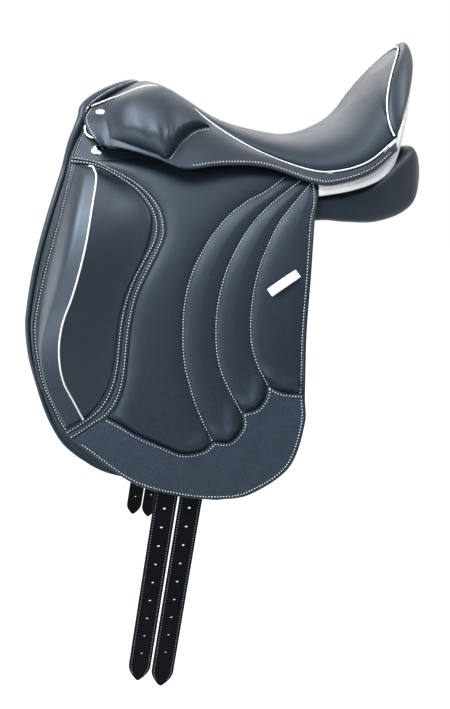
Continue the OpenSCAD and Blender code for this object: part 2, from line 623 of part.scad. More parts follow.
// Wooden seat of the stirrup bar's plate on the head's leg, cut flat by the recess
module bar_seat() {
    inner = leg_in - 5;
    cut_off = 2;
    translate([bar_seat_x[0], inner, bar_z - bar_plate_h / 2])
        cube([bar_seat_x[1] - bar_seat_x[0], bar_seat_y + cut_off - inner, bar_plate_h]);
}
module bar_recess() {
    translate([bar_plate_x[0] - 1, bar_seat_y, bar_z - bar_plate_h / 2 - 1])
        cube([bar_plate_x[1] - bar_plate_x[0], 20, bar_plate_h + 2]);
}
head_rivets = [[-46, 24], [46, 24], [-66, 66], [66, 66]];
bar_rivet_x = [-140, -118];
bar_z = 82;
bar_plate_x = [-168, -84];
bar_plate_h = 22;
bar_seat_x = [-162, -106];
bar_seat_y = 74;
rivet_l = 16;
module rivet_holes(d) {
    for (p = head_rivets) at_head() translate([p.x, p.y, -20]) cylinder(d = d, h = 20 + rivet_l);
    for (m = [0, 1], x = bar_rivet_x) mirror([0, m, 0])
        translate([x, bar_seat_y + 20, bar_z]) rotate([90, 0, 0]) cylinder(d = d, h = 20 + rivet_l);
}
module shank(d, through) {
    translate([0, 0, -through]) cylinder(d = d, h = through + rivet_l - 4);
}
// Rivets of the head plate have raised heads, and those of the stirrup bars are flush
module tree_rivets() {
    plate_face = head_plate_t + 2 * gap;
    head_h = 1.5;
    color("#a8743c") {
        for (p = head_rivets) at_head() translate([p.x, p.y, 0]) {
            shank(rivet_d, plate_face);
            translate([0, 0, -plate_face - head_h]) cylinder(d1 = rivet_d + 2, d2 = rivet_d + 4, h = head_h);
        }
        for (m = [0, 1], x = bar_rivet_x) mirror([0, m, 0])
            translate([x, bar_seat_y, bar_z]) rotate([90, 0, 0]) shank(rivet_d, bar_plate_t + gap);
    }
}
module head_plate() {
    outer = [[0, 3], [33, 10], [55, 29], [70, 57], [leg_out - 4, 84], [leg_out - 4, 92]];
    inner = [[0, 13], [23, 18.5], [46, 37], [61, 62], [leg_in + 3, 88], [leg_in + 3, 92]];
    color("#8d9096") difference() {
        at_head() translate([0, 0, -head_plate_t - gap]) linear_extrude(head_plate_t) arch_2d(outer, inner);
        rivet_holes(rivet_d + 2 * hole_gap);
    }
}
module spring_steels() {
    color("#6f747b") intersection() {
        rail_band(gap, gap + spring_t);
        rail_plan(5);
        translate([-95, -150, 0]) cube([265, 300, 200]);
    }
}
// Canvas webs that carry the seat, from the head arch to the cantle and across the rails
seat_web_w = 44;
seat_web_t = 1.5;
web_end_x = cantle_axis_x + sqrt(pow(cantle_in_r, 2) - pow(seat_web_w / 2, 2)) - gap;
web_line = [[-124, 133], [-90, 131], [-50, 102], [0, 66], [50, 50], [100, 50], [150, 74], [184, 100],
    [web_end_x, 120]];
module seat_webs() {
    line = trace(web_line, 24);
    color("#c9c2b0") translate([0, seat_web_w / 2, 0]) rotate([90, 0, 0]) linear_extrude(seat_web_w)
        polygon(concat([for (p = line) p + [0, seat_web_t]], [for (i = [24:-1:0]) line[i]]));
}

// Stirrup bar: a plate riveted to the head's leg, and a bar that stands off it and is open to the rear
bar_y = bar_seat_y + gap + bar_plate_t + bar_gap + bar_d / 2;
bar_start = -148;
catch_t = 4;
catch_pin_d = 3;
module stirrup_bar() {
    color("#b9bcc0") difference() {
        union() {
            translate([bar_plate_x[0], bar_seat_y + gap, bar_z - bar_plate_h / 2])
                cube([bar_plate_x[1] - bar_plate_x[0], bar_plate_t, bar_plate_h]);
            translate([bar_start - 10, bar_seat_y + gap, bar_z - bar_d / 2])
                cube([10, bar_y - bar_seat_y - gap, bar_d]);
            translate([bar_start - 10, bar_y, bar_z]) rotate([0, 90, 0]) cylinder(d = bar_d, h = bar_l + 10);
        }
        translate([bar_start + bar_l - 12, bar_y - catch_t / 2 - gap, bar_z - 20])
            cube([40, catch_t + 2 * gap, 40]);
        translate([bar_start + bar_l - 5, bar_y, bar_z]) rotate([90, 0, 0])
            cylinder(d = catch_pin_d, h = 40, center = true);
        rivet_holes(rivet_d + 2 * hole_gap);
    }
}
// Catch that turns up at the bar's end to keep the stirrup leather on
module bar_catch() {
    color("#b9bcc0") translate([bar_start + bar_l - 5, bar_y, bar_z]) {
        rotate([90, 0, 0]) cylinder(d = bar_d - 2, h = catch_t, center = true);
        translate([0, -catch_t / 2, -3]) cube([16, catch_t, 6]);
        translate([16, 0, 0]) rotate([90, 0, 0]) cylinder(d = 6, h = catch_t, center = true);
        rotate([90, 0, 0]) cylinder(d = catch_pin_d - 2 * hole_gap, h = bar_d - 3, center = true);
    }
}

// Leather pockets that hold the points of the tree's head
pocket_wall = 2.5;
pocket_room = 0.8;
pocket_h = 12;
pocket_l = 27;
pocket_front = head_top.x - (head_top.y - leg_end_z) * tan(head_lean) - gap;
pocket_w = leg_out - leg_in + 2 * pocket_room;
// Outer box of a pocket, grown on all sides
module pocket_box(grown, height) {
    wall = pocket_wall + grown;
    translate([pocket_front - wall, leg_in - pocket_room - wall, leg_end_z - gap - wall])
        cube([pocket_l + 2 * grown, pocket_w + 2 * wall, height]);
}
module point_pocket() {
    color("#17181b") difference() {
        pocket_box(0, pocket_h);
        translate([pocket_front, leg_in - pocket_room, leg_end_z - gap])
            cube([pocket_l, pocket_w, pocket_h]);
        at_stud() cylinder(d = shank_d + 2 * hole_gap, h = 80, center = true);
    }
}

// Stud through the flap's front corner, and the nail through the skirt's
shank_d = 4;
stud_l = 21;
module at_stud() {
    at_flap(stud_place.x, stud_place.y, flap_t + gap) children();
}
module flap_stud() {
    color("#d5d8dc") at_stud() {
        difference() {
            translate([0, 0, -stud_d / 4]) sphere(d = stud_d * 1.12, $fn = 48);
            translate([0, 0, -50]) cube(100, center = true);
        }
        translate([0, 0, -stud_l]) cylinder(d = shank_d, h = stud_l + 0.5);
    }
}
nail_u = 0.36;
nail_w = 0.31;
nail_lift = 1.6;
nail_l = 11;
module nail_axis() {
    p = skirt_at(nail_u, nail_w);
    n = unit(skirt_at(nail_u, nail_w, 1) - p);
    translate(p) rotate([0, acos(n.z), atan2(n.y, n.x)]) children();
}
module saddle_nail() {
    color("#eceae4") nail_axis() {
        translate([0, 0, nail_lift]) difference() {
            translate([0, 0, -nail_d * 0.34]) sphere(d = nail_d * 1.2, $fn = 48);
            translate([0, 0, -50]) cube(100, center = true);
        }
        translate([0, 0, -nail_l]) cylinder(d = shank_d, h = nail_l + nail_lift + 0.5);
    }
}

// D rings: half a ring on a straight bar, in a leather loop under the skirt's front edge
ring_place = [-181, 93];
chape_t = 1.2;
ring_off = flap_t + gap + chape_t + 0.25 + ring_wire_d / 2;
module at_ring() { at_flap(ring_place.x, ring_place.y, ring_off) children(); }
module d_ring() {
    color("#d5d8dc") at_ring() {
        rotate([0, 0, 90]) rotate_extrude(angle = 180) translate([ring_r, 0])
            circle(d = ring_wire_d, $fn = 24);
        rotate([90, 0, 0]) cylinder(d = ring_wire_d, h = 2 * ring_r, center = true, $fn = 24);
    }
}
module d_ring_chape() {
    bore_r = ring_wire_d / 2 + 0.25;
    loop_w = 12;
    color("#17181b") at_ring() translate([0, loop_w / 2, 0]) rotate([90, 0, 0]) difference() {
        union() {
            cylinder(r = bore_r + chape_t, h = loop_w, $fn = 32);
            translate([0, -bore_r - chape_t, 0]) cube([16, 2 * chape_t + 0.6, loop_w]);
        }
        translate([0, 0, -1]) cylinder(r = bore_r, h = loop_w + 2, $fn = 32);
    }
}

tree();
head_plate();
spring_steels();
tree_rivets();
seat_webs();
seat_foam();
seat_cover();
cantle_cover();
cantle_piping();
side(true) welt_piping();  // near_welt
side(false) welt_piping();  // off_welt
rear_facing();
front_roll();
side(true) stirrup_bar();  // near_stirrup_bar
side(false) stirrup_bar();  // off_stirrup_bar
side(true) bar_catch();  // near_bar_catch
side(false) bar_catch();  // off_bar_catch
side(true) flap_head();  // near_flap_head
side(false) flap_head();  // off_flap_head
side(true) flap();  // near_flap
side(false) flap();  // off_flap
side(true) sweat_flap();  // near_sweat_flap
side(false) sweat_flap();  // off_sweat_flap
side(true) panel();  // near_panel
side(false) panel();  // off_panel
for (near = [true, false]) side(near) point_pocket();  // point_pockets
for (near = [true, false]) side(near) saddle_nail();  // saddle_nails
for (near = [true, false]) side(near) flap_stud();  // flap_studs
for (near = [true, false]) side(near) girth_web();  // girth_webs
for (near = [true, false]) side(near) d_ring_chape();  // d_ring_chapes
side(true) d_ring();  // near_d_ring
side(false) d_ring();  // off_d_ring
side(true) skirt();  // near_skirt
side(false) skirt();  // off_skirt
side(true) skirt_pad();  // near_skirt_pad
side(false) skirt_pad();  // off_skirt_pad
side(true) knee_block();  // near_knee_block
side(false) knee_block();  // off_knee_block
side(true) block_piping();  // near_block_piping
side(false) block_piping();  // off_block_piping
side(true) block_strip();  // near_block_strip
side(false) block_strip();  // off_block_strip
side(true) grip_piece();  // near_grip_piece
side(false) grip_piece();  // off_grip_piece
side(true) quilting();  // near_quilting
side(false) quilting();  // off_quilting
side(true) keeper();  // near_keeper
side(false) keeper();  // off_keeper
side(true) strap(0);  // near_front_strap
side(false) strap(0);  // off_front_strap
side(true) strap(1);  // near_rear_strap
side(false) strap(1);  // off_rear_strap
side(true) strap_tail(0);  // near_front_strap_tail
side(false) strap_tail(0);  // off_front_strap_tail
side(true) strap_tail(1);  // near_rear_strap_tail
side(false) strap_tail(1);  // off_rear_strap_tail
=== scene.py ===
"""Dressage saddle with outside knee blocks, quilted flaps, padded skirts and girth straps."""

import math

import bpy
import numpy as np
from bpy.props import FloatProperty, FloatVectorProperty, PointerProperty
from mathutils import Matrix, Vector


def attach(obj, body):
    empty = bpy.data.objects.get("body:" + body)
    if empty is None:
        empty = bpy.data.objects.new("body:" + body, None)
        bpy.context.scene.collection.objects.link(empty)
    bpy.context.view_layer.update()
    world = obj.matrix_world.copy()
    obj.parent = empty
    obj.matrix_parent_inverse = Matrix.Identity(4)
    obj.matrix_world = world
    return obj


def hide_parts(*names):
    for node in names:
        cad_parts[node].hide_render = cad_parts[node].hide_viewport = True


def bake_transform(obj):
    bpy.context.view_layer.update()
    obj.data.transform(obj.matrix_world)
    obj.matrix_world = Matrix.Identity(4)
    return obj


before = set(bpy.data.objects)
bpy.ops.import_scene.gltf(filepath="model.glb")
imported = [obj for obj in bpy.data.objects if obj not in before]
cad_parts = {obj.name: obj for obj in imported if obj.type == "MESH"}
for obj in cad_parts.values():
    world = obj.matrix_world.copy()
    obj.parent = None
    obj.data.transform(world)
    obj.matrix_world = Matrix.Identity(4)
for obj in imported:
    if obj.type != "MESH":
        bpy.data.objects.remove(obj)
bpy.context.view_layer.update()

bl_info = {
    "name": "Dressage saddle",
    "version": (1, 0, 0),
    "blender": (4, 5, 0),
    "location": "View3D > Sidebar > Saddle",
    "description": "Dresses the frame of a dressage saddle in leather, piping and stitching",
    "category": "Object",
}

MM = 0.001
SIDES = {"near": -1.0, "off": 1.0}
MIRROR = np.array([1, -1, 1])
TINY, FAR = 1e-9, 1e9
# Points that agree to this many decimals of a millimetre are one, and an edge past this angle stays sharp
WELD_DIGITS = 3
SHARP_DEGREES = 40

# Flap surface, in mm: a cylinder that lies along the saddle and spreads to the rear
FLAP_HALF_W = 214
FLAP_BEND_R = 777
FLAP_WIDE_Z = -330
FLAP_SPREAD = math.radians(5)
SPREAD_X = -50
FLAP_T = 5
# Groove inside the flap's lip: its distance from the edge, its depth and its softness
LIP_W, LIP_DEPTH, LIP_SOFT = 5, 0.8, 1.1
# Sewn row along the front edge: how far in it lies, and how low it runs
FLAP_SEWN_IN, FLAP_SEWN_Z = 5, -255

# Edges of the flap in X and Z: its front corner, the fixed top, and the front and rear edge
TAB_FRONT = [(-176, 122), (-187, 115), (-193, 105), (-199, 92), (-205, 79), (-210, 67)]
TAB_REAR = [(-166, 116), (-166, 99), (-175, 97), (-175, 70)]
TOP_FRONT = [(-210, 67), (-212.5, 60), (-216, 46)]
TOP_REAR = [(-175, 70), (-72, 65), (-20, 62), (40, 48), (82, 36)]
FRONT_EDGE = [(-216, 46), (-226, 5), (-238, -35), (-250, -75), (-260, -115), (-263, -136), (-262, -166),
              (-257, -197), (-246, -228), (-233, -256), (-206, -282), (-151, -326), (-93, -346), (-58, -350.5)]
REAR_EDGE = [(82, 36), (86, 14.6), (79, -16), (70, -77), (61, -146), (57.5, -218), (57, -256), (38, -311),
             (-9, -345), (-46, -351), (-58, -350.5)]
SWEAT_FRONT = [(-209, 88), (-217, 66), (-224, 47), (-238, 5), (-251, -36), (-262, -77), (-269.5, -117),
               (-271.5, -138), (-269.5, -169), (-263, -200), (-254.5, -233), (-244.5, -259), (-232, -279.5),
               (-211, -298.5), (-186, -314), (-150, -323), (-95, -323), (-68, -320)]
SWEAT_REAR = [(-204.5, 88), (-204, 69.5), (-172, 69.5), (-150, 50), (-100, 18), (56, 18), (46, -77), (38, -146),
              (35, -220), (30, -265), (5, -303), (-40, -318), (-68, -320)]
SWEAT_TOP, SWEAT_T = -6.5, 3
SWEAT_UNDER_RIM = 2.5

# Knee block stations: front foot, ridge and rear foot in X and Z, and share of the height
BLOCK = [(-206, 51, -184, 46, -176, 44, .30), (-209, 38, -180.5, 34, -138, 24, .55),
         (-220, 4, -186, 0, -118, -9, .82), (-233, -40, -195, -44, -127, -50, .96),
         (-245, -86, -209, -90, -149, -92, 1), (-252, -120, -222, -122, -160, -125, .95),
         (-255, -150, -228, -154, -166, -160, .82), (-252, -184, -226, -188, -173, -192, .60),
         (-245, -214, -216, -216, -185, -217, .34), (-230, -251, -207, -240, -203, -237.5, .12)]
# Crease between the front and the top of the block, as a share of the way to its ridge, station by station
BLOCK_CREASE = [.70, .68, .66, .67, .66, .52, .32, .22, .20, .25]
# Hollow behind the ridge: places across the block, and the share of the height there
BLOCK_REAR_PLACE = [1, 1.25, 1.5, 1.76, 2]
BLOCK_REAR_SHARE = [1, .72, .44, .20, .06]
# Upper end of the block's piping, and its height over the block's base
BLOCK_HOOK = [(-189, 48.5), (-184.5, 47.3)]
BLOCK_HOOK_HIGH = (10.5, 13)
# Heights of the block's base over the flap's inner face, of its foot and of its ridge, width of its rounded
# border, and how far it sinks into the flap
BLOCK_BASE = 5.6
BLOCK_FOOT = 1.5
BLOCK_H = 38
BLOCK_EDGE = 5
BLOCK_SUNK = 0.4

# Strip behind the block: its inner and outer edge
STRIP_INNER = [(-212, 53), (-187, 50), (-172, 44.5), (-153.5, 34), (-137, 21.5), (-125, 7), (-117.5, -9),
               (-116.5, -23.5), (-121, -40), (-132, -58), (-145.5, -80), (-156, -106), (-162, -128), (-166, -152),
               (-169.5, -177), (-175.5, -198), (-184, -216), (-194.5, -230), (-206, -240), (-230, -254)]
STRIP_OUTER = [(-210, 61), (-182.5, 55.5), (-161.5, 45.5), (-140.5, 34.5), (-122, 20.5), (-108, 3), (-102.5, -15.5),
               (-103, -32), (-112, -52), (-125.5, -76), (-137, -98), (-144.5, -122), (-149.5, -147), (-152.5, -169),
               (-155.5, -190), (-160.5, -210.5), (-169.5, -228.5), (-180, -240), (-193, -247), (-209, -257.5),
               (-222, -266)]
# Strip: number of the outer edge's point at the grip piece, height over the flap, thickness, depth of its
# groove, and its sewn rows as shares of its width
STRIP_CORNER = 17
STRIP_TOP, STRIP_T, STRIP_GROOVE = 2.0, 1.9, 1.2
STRIP_SEWN = (0.26, 0.78)
# Upper edge of the quilting under the skirt, and how far its back lies in the flap
QUILT_TOP = [(-182.5, 55.5), (-120, 58), (-20, 57), (40, 44), (81, 30)]
QUILT_SUNK = 0.9
# Sewn lines of the flap, and the scallops of the grip piece
QUILT_LINES = [
    [(46, 35), (20, 18), (-1, 8), (-25, -9), (-46, -31), (-62, -54), (-74, -77), (-83, -106), (-87, -139),
     (-87, -174), (-82, -201), (-73, -233), (-56, -273)],
    [(66, 32), (40, 14), (23, 1), (1, -20), (-18, -46), (-33, -74), (-43, -104), (-48, -137), (-47, -173),
     (-38, -203), (-20, -239)],
    [(80, 30), (60, 10), (36, -16), (19, -44), (6, -72), (-3, -105), (-7, -140), (-5, -164), (2, -186),
     (12, -206)],
    [(81, 30), (79, 4), (73, -16), (64, -77), (55, -146), (51, -217)]]
SCALLOPS = [
    [(-180, -240), (-163, -250), (-146, -261.5), (-113, -278), (-92, -287), (-68, -284), (-56, -274)],
    [(-54, -273), (-34, -273), (-20, -256), (-20, -240)],
    [(-19, -238), (-3, -234), (7, -223), (12, -207)],
    [(13, -206), (29, -214), (54, -217)]]
GRIP_LOW = [(-222, -266), (-205, -280), (-151, -323), (-93, -342.5), (-46, -347.5), (-11, -341.5), (35, -309),
            (54, -255), (54, -217)]
# Grip piece: height of its face over the flap, thickness, gap below the scallops, and its sewn rows
GRIP_TOP, GRIP_T, GRIP_GAP = 1.9, 1.8, 0.4
GRIP_SEWN_LOW, GRIP_SEWN_TOP = 2.6, 3.4

# Seat ribs: welt point, handle there, top point in X and Z, and half width of the top
WELT = [(-185, 70, 120), (-155, 62, 132.5), (-110, 57, 147.5), (-75, 67, 133), (-30, 91, 97), (20, 112, 67),
        (75, 131, 46), (110, 139, 43), (150, 143, 54), (189, 136, 82)]
RIB_HANDLES = [(14, -14, 12), (6, -8, 9), (0, -10, 7), (0, -10, 10), (0, -12, 17), (0, -10, 25),
               (0, -8, 32), (0, -6, 36), (-4, -8, 38), (-24, -16, 40), (-34, -14, 50), (-10, -4, 46),
               (6, 1, 42), (10, 0, 34)]
RIB_TOPS = [(-122, 163), (-110, 162), (-92, 156), (-68, 138.5), (-28, 115), (20, 103), (68, 97), (108, 105),
            (150, 127.5), (196, 175), (235, 214.5), (246, 220.5), (254, 204), (250, 172)]
RIB_WIDTHS = [24, 26, 27, 32, 42, 52, 60, 62, 58, 52, 58, 56, 54, 58]
# Stations of the welt's end, the cantle piping and the facing
WELT_END, PIPING_U, FACING_U = 9, 10, 13
# Leather of the seat and the cantle: first and last station, just clear of the piping, and count of rows
SEAT_STATIONS = (0, 9.97, 170)
CANTLE_STATIONS = (10.03, 12.98, 60)
# Leather: thickness, distance from the welt, and depth and reach of its dip into the seams
COVER_T, COVER_EDGE, COVER_TUCK, TUCK_REACH = 3, 2.2, 2.6, 2.4
# Foam: distance from the welt and below the leather, thickness at its sides and down its middle
FOAM_EDGE, FOAM_CLEAR, FOAM_THIN = 9, 1.2, 2.5
FOAM_DEPTH = [6, 6, 7, 8, 18, 32, 39, 36, 15, 9, 6]
# How far the leather runs on at the pommel, and how far the welt stands proud there
POMMEL_REACH = 4
WELT_PROUD = np.array([0, 0.8, 1.1])

# Skirt: lower edge and swell at each station of the welt
SKIRT_EDGE = [(-185, 107, 72), (-151, 126, 69), (-112, 140, 58), (-77, 149, 45.5), (-31, 147, 50),
              (22, 146, 48), (80, 152, 29.5), (110, 152, 28.5), (153, 151, 42), (191, 141, 69.5)]
SKIRT_BULGE = [6.5, 7, 8, 7, 5, 4, 3, 2, 1, .5]
SKIRT_T, SKIRT_ROUND, SKIRT_CLEAR = 3.5, 1.7, 2.4
# Front edge: how far it bows forwards, its corner is drawn back and it is lifted off the flap
SKIRT_FRONT_BOW, SKIRT_CORNER, SKIRT_FRONT_LIFT = 10, 8, 7
# Sewn row: the station it starts at, and how far in from the lower edge it lies
SKIRT_SEWN_U, SKIRT_SEWN_IN = 3.2, 4.2
# Skirt pad: first and last station, lower edge as a share of the way down the skirt, and height
PAD_FROM, PAD_TO = 0.47, 3.75
PAD_LOW = [.86, .91, .94, .955, .95, .71, .46, .22]
PAD_H = 19
# Oval nail: station and share of the way down the skirt, half axes, tilt, and its dome ring by ring
NAIL_U, NAIL_W = 0.45, 0.31
NAIL_A, NAIL_B = 6.4, 3.9
NAIL_TILT = math.radians(24)
NAIL_SHARE = [0, 1, 1, .93, .78, .55, .28, 0]
NAIL_HIGH = [-2, -2, .5, 1.25, 1.8, 2.2, 2.4, 2.45]

# Facing round the rear: its upper edge along the side, and its lower edge to the middle
FACING_SIDE = [(88, 143, 30), (130, 142, 38), (168, 133, 57)]
FACING_LOWER = [(88, 147, 13), (130, 147, 20), (166, 143, 32), (187, 135, 48), (200, 120, 66), (215, 92, 80),
                (231, 50, 88), (238, 0, 90)]
FACING_T, FACING_ROUND, FACING_DROP = 3, 1.2, 2.6
# Middle line of the rim over the pommel
ROLL = [(-128, 0, 158.5), (-135, 13, 156.5), (-151, 31, 149.5), (-174, 53, 136), (-192, 69, 120.5),
        (-197, 78, 107), (-203, 84.5, 93), (-211, 89, 75)]
# Rim: half its width along the roll and then down the sweat flap's front edge, and its height to that width
RIM_R = [7, 7, 7, 7, 6.4, 5.4, 4.8, 4.5]
RIM_EDGE_R = [4.4, 4.2, 4, 3.8, 3.6, 3.4, 3.2, 3, 2.8, 2.6, 2.4, 2.2, 2, 2, 2, 2]
RIM_FLAT = 0.8
RIM_OFF = -7.5
# Sewn row of the rim: how low it runs, and how far round the rim it lies
RIM_SEWN_Z, RIM_SEWN_TURN = 112, math.radians(42)

# Panel stations along X, with inner top, outer top, outer bottom and inner bottom corners in Y and Z
PANEL = [(-196, 50, 84, 68, 80, 102, 22, 84, 14), (-185, 44, 86, 66, 78, 110, 0, 80, -2),
         (-150, 38, 84, 60, 70, 124, -34, 70, -16), (-100, 36, 78, 64, 62, 138, -50, 54, 0),
         (-40, 36, 66, 76, 54, 148, -50, 42, 4), (30, 36, 40, 100, 34, 148, -36, 40, 0),
         (90, 36, 24, 140, 17, 142, -21, 42, -2), (130, 36, 28, 140, 21, 139, -24, 44, 0),
         (170, 36, 42, 132, 36, 130, -26, 46, 0), (206, 38, 63, 112, 61, 118, -19, 48, 4),
         (230, 44, 81, 98, 76, 106, -7, 52, 12), (242, 52, 78, 88, 70, 95, 8, 56, 20),
         (249, 62, 60, 79, 56, 83, 32, 66, 36)]
PANEL_ROUND = 0.5
# Channel for the tree's leg in a panel: its side view, and a box for the pocket, with their widths
LEG_CHANNEL = [(-209.6, 51.7), (-134.1, 51.7), (-96.3, 100), (-171.9, 100)]
LEG_WIDTH = (64.5, 81.5)
POCKET_CHANNEL = [(-202.6, 48.6), (-171.6, 48.6), (-171.6, 110), (-202.6, 110)]
POCKET_WIDTH = (62.2, 83.8)

# Girth straps: place of the bend along the saddle and length of the tail below it, then what all four share
STRAPS = {"front": (-114, 250), "rear": (-83, 260)}
STRAP_SLANT = math.radians(9.7)
STRAP_BOTTOM_Z = -356
STRAP_TOP_Z = 40
STRAP_W = 28.6
STRAP_T, STRAP_ROUND = 4, 1.4
STRAP_SEWN_IN = 3.2
STRAP_OFF = -3
TAIL_OUT = math.radians(4)
TIP_L = 22
HOLE_R = 1.9
HOLE_FIRST = 8
HOLE_PITCH = 25.4
HOLE_COUNT = 9
PIN_SIDES, PIN_REACH = 20, 6

# Loop on the flap: middle in X and Z, turn, sizes, rise of its arch, height of its base over the flap's inner
# face, share of its half length that slopes, and depth of its crease
KEEPER = (34.5, -87)
KEEPER_TURN = math.radians(33.5)
KEEPER_L, KEEPER_W, KEEPER_T = 42, 11, 2
KEEPER_RISE = 4.8
KEEPER_OFF = 8.9
KEEPER_FOOT, KEEPER_CREASE = 0.22, 0.8

# One stitch, ring by ring: place as a share of the pitch, and thickness and lift as shares of half its width
STITCH_ENDS = np.array([-.25, -.18, 0, .18, .25])
STITCH_THICK = np.array([.15, .8, 1, .8, .15])
STITCH_LIFT = np.array([-.8, .1, .35, .1, -.8])
STITCH_SIDES = 6
STITCH_SLANT = 0.14

# Cloudy dye of the leather, and the cool tint of its sheen
CLOUD_MM = 38
LEATHER_SHEEN = "#c6dbf0"

# Stage, in metres and watts: camera, lights, the way the studio is light, and the floor
CAMERA_AT = (-0.150, -0.909, 0.020)
CAMERA_TURN, CAMERA_PITCH = math.radians(9), math.radians(-14.8)
LENS_MM, SENSOR_MM = 31.5, 36
# Each light: its place, the length of its side and its power
LIGHTS = {
    "key_light": ((-1.1, -1.05, 2.25), 1.4, 116),
    "back_light": ((0.1, 1.4, 1.6), 1.6, 15),
    "left_light": ((-1.7, 0.25, 0.15), 1.0, 12),
    "front_light": ((-1.5, -1.35, 0.1), 1.2, 24),
    "right_light": ((1.3, -0.5, 1.7), 1.0, 20),
}
LIGHT_AIM = (0, 0, -0.05)
STUDIO_FRONT = (-0.5, -0.7, 0.5)
STUDIO_LEVEL = 0.6
FLOOR_R, FLOOR_Z = 9, -0.75
FLOOR_RINGS, FLOOR_SPOKES = 24, 64


def linear(hex_colour):
    """Linear red, green and blue of an sRGB hex colour."""
    s = np.array([int(hex_colour[i:i + 2], 16) for i in (1, 3, 5)]) / 255
    return tuple(np.where(s <= 0.04045, s / 12.92, ((s + 0.055) / 1.055) ** 2.4))


class SaddleSizes(bpy.types.PropertyGroup):
    """Sizes of the trim that is sewn on the frame."""

    piping_radius: FloatProperty(
        name="Piping radius", description="Radius of the white piping in the seams",
        default=0.00105, unit="LENGTH")
    stitch_pitch: FloatProperty(
        name="Stitch pitch", description="Distance from stitch to stitch", default=0.0036, unit="LENGTH")
    stitch_width: FloatProperty(
        name="Thread width", description="Width of the sewing thread", default=0.0012, unit="LENGTH")
    quilt_height: FloatProperty(
        name="Quilt height", description="Height of the quilted fields over the flap",
        default=0.0042, unit="LENGTH")
    edge_radius: FloatProperty(
        name="Edge radius", description="Rounding of the cut leather edges", default=0.0024, unit="LENGTH")


class SaddleColours(bpy.types.PropertyGroup):
    """Colours of the saddle's materials."""

    leather: FloatVectorProperty(
        name="Leather", description="Dyed leather of the seat, skirts and flaps",
        default=linear("#181f28"), subtype="COLOR")
    grip: FloatVectorProperty(
        name="Grip leather", description="Pebbled leather along the flap's lower edge",
        default=linear("#212c37"), subtype="COLOR")
    strap: FloatVectorProperty(
        name="Strap leather", description="Dyed leather of the girth straps",
        default=linear("#0c0d0f"), subtype="COLOR")
    piping: FloatVectorProperty(
        name="Piping", description="White leather of the piping", default=linear("#e2e2e0"), subtype="COLOR")
    patent: FloatVectorProperty(
        name="Patent leather", description="White patent leather of the facing and the loop",
        default=linear("#e8e9e8"), subtype="COLOR")
    thread: FloatVectorProperty(
        name="Thread", description="Sewing thread", default=linear("#d8dbde"), subtype="COLOR")


# Curves and arrays

def curve(points, u):
    """Smooth curve through points at station u: Catmull-Rom segments, with the end points reflected."""
    p = np.asarray(points, float)
    flat = p.ndim == 1
    p = p[:, None] if flat else p
    ext = np.vstack([2 * p[0] - p[1], p, 2 * p[-1] - p[-2]])
    u = np.clip(np.asarray(u, float), 0, len(p) - 1)
    k = np.minimum(u.astype(int), len(p) - 2)
    t = (u - k)[..., None]
    a, b, c, d = (ext[k + i] for i in range(4))
    out = (2 * b + (c - a) * t + (2 * a - 5 * b + 4 * c - d) * t**2 + (3 * b - a - 3 * c + d) * t**3) / 2
    return out[..., 0] if flat else out


def trace(points, count):
    """Points along the smooth curve through all the points."""
    return curve(points, np.linspace(0, len(points) - 1, count))


def unit(v):
    """Vectors divided by their lengths."""
    return v / np.maximum(np.linalg.norm(v, axis=-1, keepdims=True), TINY)


def lengths(path):
    """Distance along a path from its first point to each of its points."""
    return np.concatenate([[0], np.cumsum(np.linalg.norm(np.diff(path, axis=0), axis=1))])


def along(path, share):
    """Points of a path at shares of its length."""
    path = np.asarray(path, float)
    s = lengths(path)
    return np.stack([np.interp(np.asarray(share) * s[-1], s, path[:, i]) for i in range(path.shape[1])], -1)


def crowded(count):
    """Shares from 0 to 1 that lie closer together towards both ends, as a cosine does."""
    return 0.5 - 0.5 * np.cos(np.pi * np.linspace(0, 1, count))


def ring_angles(count):
    """Angles of a full turn in even steps."""
    return 2 * np.pi * np.arange(count) / count


def ruled(first, last, share):
    """Grid of straight rows from a first edge to a last edge of the same count."""
    return first[:, None] + (last - first)[:, None] * share[None, :, None]


def inset(path, distance):
    """Path in a plane moved to its left by a distance, square to its own direction."""
    t = unit(np.gradient(np.asarray(path, float), axis=0))
    return path + distance * np.stack([-t[:, 1], t[:, 0]], -1)


def near_line(points, line):
    """Least distance from points in a plane to a polyline: each is dropped on every piece of the line."""
    best = np.full(points.shape[:-1], FAR)
    for a, b in zip(line[:-1], line[1:]):
        d = b - a
        t = np.clip(((points - a) @ d) / max(d @ d, TINY), 0, 1)
        best = np.minimum(best, np.linalg.norm(points - a - t[..., None] * d, axis=-1))
    return best


def border_distance(grid):
    """Distance along a grid's own lines to its nearest border: the lesser sum of steps, row and column."""
    best = np.full(grid.shape[:2], FAR)
    for axis in (0, 1):
        step = np.linalg.norm(np.diff(grid, axis=axis), axis=-1)
        s = np.pad(np.cumsum(step, axis=axis), [(int(axis == i), 0) for i in (0, 1)])
        best = np.minimum(best, np.minimum(s, np.take(s, [-1], axis=axis) - s))
    return best


def rounding(distance, radius):
    """Drop of a rounded edge: a quarter circle from the border in to its radius."""
    d = np.clip(distance, 0, radius)
    return radius - np.sqrt(np.maximum(radius**2 - (radius - d) ** 2, 0))


def grid_normal(grid):
    """Unit normals of a grid: the cross product of its two directions."""
    return unit(np.cross(np.gradient(grid, axis=0), np.gradient(grid, axis=1)))


def outwards(directions):
    """Directions turned round where they point in to the middle of the saddle."""
    return np.where(directions[..., 1:2] < 0, -directions, directions)


